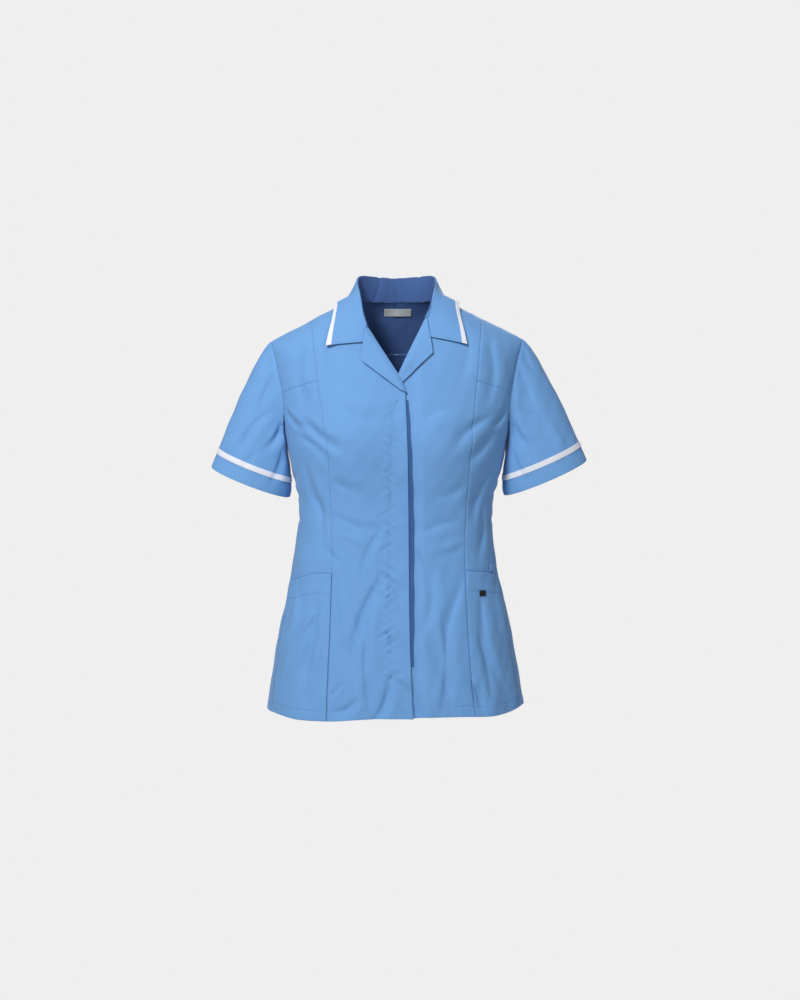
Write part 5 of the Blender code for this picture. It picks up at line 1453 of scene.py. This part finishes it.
# Soft dents in the stand inside the neck and a slow wave along the fall's edge
def collarForm(middle):
    x, y, z = middle[..., 0], middle[..., 1], middle[..., 2]
    rows = np.arange(middle.shape[0])[:, None] / (middle.shape[0] - 1.0)
    inside = ease((0.42 - rows) / 0.2)
    dent = (1.3 * np.exp(-((x + 38 - 9 * np.sin(z / 20)) / 3.0) ** 2)
            + 1.1 * np.exp(-((x - 43 + 5 * np.sin(z / 17)) / 2.8) ** 2)
            - 0.6 * np.exp(-((x - 8 + z / 9) / 5.0) ** 2)
            + 0.6 * np.exp(-((x + 14 - z / 8) / 4.0) ** 2))
    wave = 0.35 * np.sin(x / 17.0 + 0.6) * np.sin(y / 23.0 + 1.0) + 0.2 * np.sin(z / 9.0 + x / 13.0)
    return -dent * inside * (y > 0) + wave * ease((rows - 0.45) / 0.3)


# Both halves joined in the middle behind. Half of the wall is
# thickness/2*(0.45 + 0.55*sqrt(distance from the free edge)), and the braid lies on the last rows
def makeCollar():
    right, rightSeam = collarHalf(-1)
    left, leftSeam = collarHalf(1)
    middle = np.concatenate([right, left[:, -2::-1]], axis=1)
    normals = gridNormals(middle)
    normals[0] = np.concatenate([rightSeam, leftSeam[-2::-1]])
    first = len(middle) - len(collar["trimPlaces"]) - 1
    middle = middle + normals * collarForm(middle)[..., None]
    fromSeam, fromLeft, fromEdge, fromRight = edgeDistances(middle)
    edge = np.minimum(np.minimum(fromRight, fromLeft), fromEdge)
    half = 0.5 * collar["thickness"] * (0.45 + 0.55 * np.sqrt(np.clip(edge, 0, 1)))
    half = np.where(fromSeam < 8.0, 0.5 * collar["thickness"], half)
    # the first rows, the stand inside the neck, take the darker twill as painted shade
    piece = addCloth("collarCloth", middle, normals, half, 2 * half, [twill, twillPaintedShade],
                     shaded=collar["shaded"], replaces=["collar"])
    hung(piece, middle, held="folded", restsOn=["back_yoke", "front_right", "front_left"])
    points, trimNormals = middle[first:], normals[first:]
    place = np.array([0.0, *collar["trimPlaces"]])[:, None]
    rim = np.minimum(place, collar["trim"] - place)
    soft = 0.3 * np.exp(-(rim / 0.35) ** 2)
    out = half[first:] + collar["braid"] + 0.05 - soft
    trim = addCloth("collarTrim", points, trimNormals, out, collar["braid"] - soft, [braid],
                    slotName="white_braid", replaces=["collar_trim"])
    trims["collarCloth"] = [trim]
    surface = points + trimNormals * out[..., None]
    for row in (2, len(place) - 3):
        addStitches("white", surface[row, 2:-2], trimNormals[row, 2:-2], 0.02)


# Lapels, rolled back over the edge of the fronts

lapel = {
    "edge": {
        # x, z from the notch to the break
        -1: [(-55.2, -83.8), (-59.5, -108.0), (-54.5, -116.5), (5.0, -161.5)],
        1: [(56.5, -79.5), (59.7, -100.8), (54.0, -106.5), (9.5, -148.5)],
    },
    "rollRadius": 1.7, "thickness": 1.3, "rollColumns": 7,
}


# offset(f) = roll radius + swell*sin(pi*sqrt(f)) + lift*f^2, f going from the roll to the free
# edge; seven columns before it carry the cloth round the roll, on a half circle
def makeLapel(sign):
    v = np.linspace(0.0, 1.0, panels["lapel"]["pointsAlong"])
    free = along(lapel["edge"][sign][::-1], v)
    gorge = seams["gorge"][sign]
    if sign < 0:
        start = (float(frontEdgeX(seams["breakLevel"])) - 1.0, seams["breakLevel"] + 3.0)
        roll = along([start, (seams["vX"], seams["vLevel"]), gorge], v)
    else:
        roll = along([(seams["vX"] + 2.5, seams["vLevel"]), gorge], v)
    f = graded(*panels["lapel"]["across"], (0.5, 1.2), (0.4, 0.9, 1.6))[None, :, None]
    flat = roll[:, None] * (1 - f) + free[:, None] * f
    spots = chart(flat[..., 0], flat[..., 1])
    points, normals = bodyAt(spots)
    width = np.linalg.norm(free - roll, axis=-1)[:, None]
    f = f[..., 0]
    swell = np.minimum(width * 0.12, 2.8) * np.sin(math.pi * np.sqrt(f))
    radius = np.minimum(lapel["rollRadius"], 0.35 + width * 0.18)
    radius = radius + 1.1 * ease((v[:, None] - 0.72) / 0.28)      # meets the collar's crest
    offset = radius + np.abs(swell) + 0.35 * np.sin(v[:, None] * 9.0) * f
    offset = offset + 2.4 * f ** 2 * ease(width / 30.0)     # its free edge stands off
    if sign > 0:
        offset = offset + leftSink(flat[..., 0], flat[..., 1])
    fall = points + normals * offset[..., None]
    theta = np.linspace(0.0, math.pi, lapel["rollColumns"] + 1)[:-1][None, :, None]
    outward = unit(points[:, :1] - points[:, 3:4])
    base = points[:, :1] + normals[:, :1] * (offset[:, :1] - radius)[..., None]
    turn = (base - normals[:, :1] * np.cos(theta) * radius[..., None]
            + outward * (np.sin(theta) * radius[..., None] * 1.1 + 1.5 * (1.0 - theta / math.pi)))
    turnNormals = unit(-normals[:, :1] * np.cos(theta) + outward * np.sin(theta))
    middle = np.concatenate([turn, fall], axis=1)
    allNormals = np.concatenate([turnNormals, normals], axis=1)
    edge = np.minimum((1 - f) * width, 4.0)
    top = np.minimum((1 - v[:, None]) * 100.0, 4.0)
    rim = np.clip(np.minimum(edge, top), 0, 1)
    half = 0.5 * lapel["thickness"] * (0.5 + 0.5 * np.sqrt(rim))
    half = np.concatenate([np.repeat(half[:, :1], lapel["rollColumns"], axis=1), half], axis=1)
    if sign < 0:
        middle, allNormals, half = middle[:, ::-1], allNormals[:, ::-1], half[:, ::-1]
    name = sideName(sign)
    piece = addCloth("lapel" + name, middle, allNormals, half, 2 * half, [twill],
                     replaces=["lapel_" + name.lower()])
    hung(piece, middle, held="folded", restsOn=["front_" + name.lower()])


# Strip of the concealed fastening, drawn in darker twill as painted shade, a dark line beside the
# front edge

flyStrip = {"top": -178.0, "bottom": -612.0, "under": 14.0, "beyond": 7.0, "behind": 2.4,
            "thickness": 0.9}


# x = front edge + way across, where the part beyond the edge is scaled by a slowly changing taper
def makeFlyStrip():
    z = np.linspace(flyStrip["bottom"], flyStrip["top"], 140)
    across = np.linspace(-flyStrip["under"], flyStrip["beyond"], 12)
    taper = (0.68 + 0.42 * ease((-230.0 - z) / 120.0) - 0.4 * ease((-480.0 - z) / 130.0)
             + 0.06 * np.sin(z / 9.0) + 0.07 * np.sin(z / 23.0))
    across = across[None] * np.where(across[None] > 0, taper[:, None], 1.0)
    x = frontEdgeX(z)[:, None] + across
    spots = chart(x, z[:, None])
    points, normals = bodyAt(spots)
    out = bodyCrease(points, normals) - flyStrip["behind"]
    piece = addCloth("flyStrip", points, normals, out, flyStrip["thickness"], [twillUnder],
                     replaces=["fly_strip"])
    hung(piece, points, held="laid", restsOn=["front_left"])


# Hip pockets, with a deep turned top edge sewn down

pocket = {
    "top": {
        # share from the princess seam to the side seam, level
        -1: [(0.0, -464.5), (0.17, -464.4), (0.4, -467.8), (0.55, -471.0), (0.7, -475.0),
             (1.0, -478.5)],
        1: [(0.0, -460.5), (0.35, -462.5), (0.64, -466.0), (1.0, -471.5)],
    },
    "clear": 1.0, "hemClear": 1.0, "band": 32.0, "thickness": 1.0, "drawnIn": 0.4,
    "hemDepth": 15.5, "foldX": {-1: 161.0, 1: 163.0},      # foldX: the upright fold in the band
}


# outside = clearance + thickness + creases + hem + band + mouth - dips at both sides
def makePocket(sign):
    tops = column(pocket["top"][sign], 1)
    v = np.linspace(0.0, 1.0, 81)
    edges = []
    for line, top in ((princess(sign), tops[0]), (sideSeam(sign), tops[-1])):
        z = float(line[0, 1]) + pocket["hemClear"] + (top - line[0, 1] - pocket["hemClear"]) * v
        edges.append(np.stack([np.interp(z, line[:, 1], line[:, 0]), z], axis=-1))
    seam, outer = edges
    share = np.linspace(0.0, 1.0, 41)
    top = np.stack([seam[-1, 0] + (outer[-1, 0] - seam[-1, 0]) * share,
                    tableAt(pocket["top"][sign], share)], axis=-1)
    angles = seam[0, 0] + (outer[0, 0] - seam[0, 0]) * share
    bottom = np.stack([angles, hemLevel(angles) + pocket["hemClear"]], axis=-1)
    seam[0], outer[0] = bottom[0], bottom[-1]
    bandRows = (0.5, 1.1, 2.0, 4.0, 8.0, 13.0, 19.0, 25.0, 29.0, 30.6, 31.4, 32.0, 32.6, 33.4,
                35.0)
    rows = graded(*panels["pocket"]["up"], hemRows, bandRows)
    columns = graded(*panels["pocket"]["across"])
    if sign < 0:
        grid = patch(outer, seam, bottom[::-1], top[::-1], rows, columns)
    else:
        grid = patch(seam, outer, bottom, top, rows, columns)
    points, normals = bodyAt(grid)
    fromBottom, fromRight, fromTop, fromLeft = edgeDistances(points)
    around = np.degrees(grid[..., 0]) * cloth["perDegree"]
    out = bodyCrease(points, normals) + pocket["clear"] + pocket["thickness"]
    out += hemForm(fromBottom, around, pocket["hemDepth"])
    band = ease((pocket["band"] + 1.2 - fromTop) / 1.6)
    out += 0.45 * band - 0.55 * np.exp(-((fromTop - pocket["band"]) / 1.1) ** 2)
    pulls = np.sin(around / 9.0 * waveTurn + 0.4) + 0.7 * np.sin(around / 14.3 * waveTurn)
    out += 0.16 * pulls * np.exp(-((fromTop - pocket["band"]) / 7.0) ** 2)
    sides = np.minimum(fromRight, fromLeft)
    out += 1.6 * np.exp(-(fromTop / 9.0) ** 2) * ease(sides / 26.0)     # the mouth stands off
    foldAt = np.abs(points[..., 0]) - pocket["foldX"][sign] - fromTop * 0.05
    out -= 1.0 * np.exp(-(foldAt / 2.6) ** 2) * band
    for distance in (fromRight, fromLeft):
        out -= 0.6 * np.exp(-(distance / 1.6) ** 2)
        out += seamRipple(distance, points[..., 2], 1.7)
    out -= 0.3 * np.exp(-((fromLeft if sign < 0 else fromRight) / 4.0) ** 2)
    out -= 0.5 * np.exp(-(fromTop / 0.8) ** 2)
    thickness = pocket["thickness"] + 0.5 * band - 0.6 * np.exp(-(fromTop / 0.6) ** 2)
    moved = points.copy()
    drawIn(moved, points, "rl", pocket["drawnIn"])
    name = sideName(sign)
    piece = addCloth("pocket" + name, moved, normals, out, thickness, [twill],
                     replaces=["pocket_" + name.lower()])
    hung(piece, moved, restsOn=["side_front_" + name.lower()])
    surface = moved + normals * out[..., None]
    for distances, depth in ((fromTop, pocket["band"]), (fromBottom, pocket["hemDepth"])):
        row = rowAt(distances, 18, depth)
        addStitches("thread", surface[row, 1:-1], normals[row, 1:-1], 0.25)
    # rows of dark thread that stand in for the shadows of the mouth and the side seam
    mouth = points[-1, 1:-1] + normals[-1, 1:-1] * pocket["clear"] + [0.0, 0.0, 1.0]
    addStitches("shade", mouth, normals[-1, 1:-1], 0.0)
    outerColumn = 0 if sign < 0 else -1
    low = (points[:, outerColumn, 2] < -535.0) & (points[:, outerColumn, 2] > -688.0)
    outerNormals = normals[low, outerColumn]
    addStitches("shade", surface[low, outerColumn] + outerNormals * 0.5, outerNormals, 0.2)


# Small pieces: a strip on the body's surface, rows up and columns to the wearer's left

tabs = {
    # out is the way off the body, inwards when negative; cells go across and up
    "penLoop": {"x": 156.5, "top": -449.0, "width": 6.5, "length": 15.5, "out": 1.6,
                "thickness": 0.7, "cells": (8, 22), "swell": 1.36},
    "pocketLabel": {"x": 141.0, "top": -492.5, "width": 9.5, "length": 9.5, "out": 3.6,
                    "thickness": 0.7, "cells": (16, 16)},
    "neckLabel": {"x": 2.0, "top": -15.0, "width": 47.0, "length": 12.5, "out": -2.2,
                  "thickness": 0.6, "cells": (48, 12), "wave": 0.5},
}


# outside = out + creases + swell*sin(pi*v) + a wave across, less at the rim
def makeTab(name, material, slotName, node, sewnTo, side=1, creased=True):
    tab = tabs[name]
    width, length, out, thickness = (tab[key] for key in ("width", "length", "out", "thickness"))
    u = graded(tab["cells"][0], width, (0.3, 0.7), (0.3, 0.7))
    v = graded(tab["cells"][1], length, (0.3, 0.7), (0.3, 0.7))
    x = tab["x"] + width * (u - 0.5)
    z = tab["top"] + length * (v - 1.0)
    grid = chart(x[None, ::side], z[:, None], side)
    grid = unwrap(grid) if side < 0 else grid
    points, normals = bodyAt(grid)
    offset = out + (bodyCrease(points, normals) if creased else 0.0)
    rim = np.minimum(np.minimum(u, 1 - u)[None] * width, np.minimum(v, 1 - v)[:, None] * length)
    offset = offset - np.sign(out) * 0.3 * thickness * np.exp(-(rim / 0.35) ** 2)
    offset = offset + tab.get("swell", 0.0) * np.sin(math.pi * v)[:, None]
    offset = offset + tab.get("wave", 0.0) * np.sin(u * 9.0 + 0.5)[None] * (1 - v[:, None] * 0.6)
    piece = addCloth(name, points, normals, offset, thickness, [material], slotName=slotName,
                     replaces=[node])
    trims.setdefault(sewnTo, []).append(piece)
    return points + normals * offset[..., None], normals


for side in (-1, 1):
    makeFront(side)
    makeSideFront(side)
    makeChest(side)
    makeSleeve(side)
    makeSleeveBraid(side)
    makeLapel(side)
    makePocket(side)
print("fronts, sleeves, lapels and pockets made")
makeBackYoke()
makeBack()
makeCollar()
makeFlyStrip()
print("back, collar and fastening strip made")

surface, normals = makeTab("penLoop", twill, "blue_twill", "pen_loop", "sideFrontLeft")
# sewing across both ends of the loop, in the darker thread as painted shade
for row in (2, -3):
    addStitches("shade", surface[row, 1:-1], normals[row, 1:-1], pitch=1.4)
makeTab("pocketLabel", blackTape, "black_label", "pocket_label", "pocketLeft")
makeTab("neckLabel", greyTape, "grey_label", "neck_label", "backYoke", side=-1, creased=False)
declareSheets()

stitchPieces = [buildStitches("stitches", "thread", thread),
                buildStitches("stitchesPaintedShade", "shade", shadeThread),
                buildStitches("stitchesBraid", "white", whiteThread)]
print("sewing made:", sum(len(piece.data.polygons) for piece in stitchPieces), "faces")


# Room, light and camera

room = {
    "background": "#EFEFEF", "glow": 0.32, "glowColour": "#F4F7FF",
    "floorLevel": -2.2, "floorRadius": 3.3, "floorSides": 96, "floorColour": "#F4F4F4",
    # name, place, size, watts, toward
    "lights": [
        ("key", (-1.2, -2.3, 1.8), 0.75, 91.0, (0.0, 0.0, -0.25)),
        ("fill", (1.5, -2.9, 0.1), 1.4, 10.0, (0.0, 0.0, -0.3)),
        ("rim", (0.4, 2.6, 0.9), 1.5, 52.0, (0.0, 0.0, -0.3)),
    ],
    # camera: metres away, its level, metres a pixel, and the frame's middle in x and z
    "distance": 3.1, "level": -0.27, "scale": 0.0017, "middle": (0.00595, -0.3451),
}


# A disk of light, turned by the two angles of its way to a point
def addLight(name, place, size, watts, toward):
    light = bpy.data.lights.new(name, "AREA")
    light.shape, light.size, light.energy = "DISK", size, watts
    lamp = bpy.data.objects.new(name, light)
    lamp.location = place
    way = np.array(toward) - np.array(place)
    flat = math.hypot(way[0], way[1])
    lamp.rotation_euler = (math.atan2(flat, -way[2]), 0.0, math.atan2(-way[0], way[1]))
    bpy.context.scene.collection.objects.link(lamp)


# Pale paper for the camera and a soft glow for everything else, mixed by Is Camera Ray
def makeWorld():
    world = bpy.data.worlds.new("paleRoom")
    world.use_nodes = True
    tree = world.node_tree
    paper = tree.nodes["Background"]
    paper.inputs["Color"].default_value = linear(room["background"])
    glow = addNode(tree, "ShaderNodeBackground", {"Strength": room["glow"]})
    glow.inputs["Color"].default_value = linear(room["glowColour"])
    rays = addNode(tree, "ShaderNodeLightPath")
    both = addNode(tree, "ShaderNodeMixShader", {},
                   {0: (rays, "Is Camera Ray"), 1: (glow, "Background"), 2: (paper, "Background")})
    tree.links.new(both.outputs[0], tree.nodes["World Output"].inputs["Surface"])
    bpy.context.scene.world = world


# A matt disk far below, as a fan of triangles round its middle
def makeFloor():
    sides = room["floorSides"]
    angle = np.arange(sides) * 2 * math.pi / sides
    ring = np.stack([np.cos(angle), np.sin(angle), 0 * angle], axis=-1) * room["floorRadius"]
    verts = np.concatenate([ring + [0, 0, room["floorLevel"]], [[0, 0, room["floorLevel"]]]])
    faces = [(k, (k + 1) % sides, sides) for k in range(sides)]
    mesh = bpy.data.meshes.new("floor")
    mesh.from_pydata(verts.tolist(), [], faces)
    floor = bpy.data.objects.new("floor", mesh)
    paint = bpy.data.materials.new("mattPaintedFloor")
    paint.use_nodes = True
    shader = paint.node_tree.nodes["Principled BSDF"]
    shader.inputs["Base Color"].default_value = linear(room["floorColour"])
    shader.inputs["Roughness"].default_value = 0.9
    mesh.materials.append(paint)
    bpy.context.scene.collection.objects.link(floor)


# lens = 36 mm*distance/span, and the shift is the frame's middle as a share of the span
def makeCamera():
    lens = bpy.data.cameras.new("camera")
    span = room["scale"] * 1000
    lens.sensor_width = 36.0
    lens.sensor_fit = "AUTO"
    lens.lens = 36.0 * room["distance"] / span
    lens.shift_x = room["middle"][0] / span
    lens.shift_y = (room["middle"][1] - room["level"]) / span
    camera = bpy.data.objects.new("camera", lens)
    camera.location = (0.0, -room["distance"], room["level"])
    camera.rotation_euler = (math.radians(90.0), 0.0, 0.0)
    bpy.context.scene.collection.objects.link(camera)
    bpy.context.scene.camera = camera
    bpy.context.scene.view_settings.view_transform = "Standard"


makeWorld()
for light in room["lights"]:
    addLight(*light)
makeFloor()
makeCamera()
print("room made;", len(finishedPieces), "pieces")
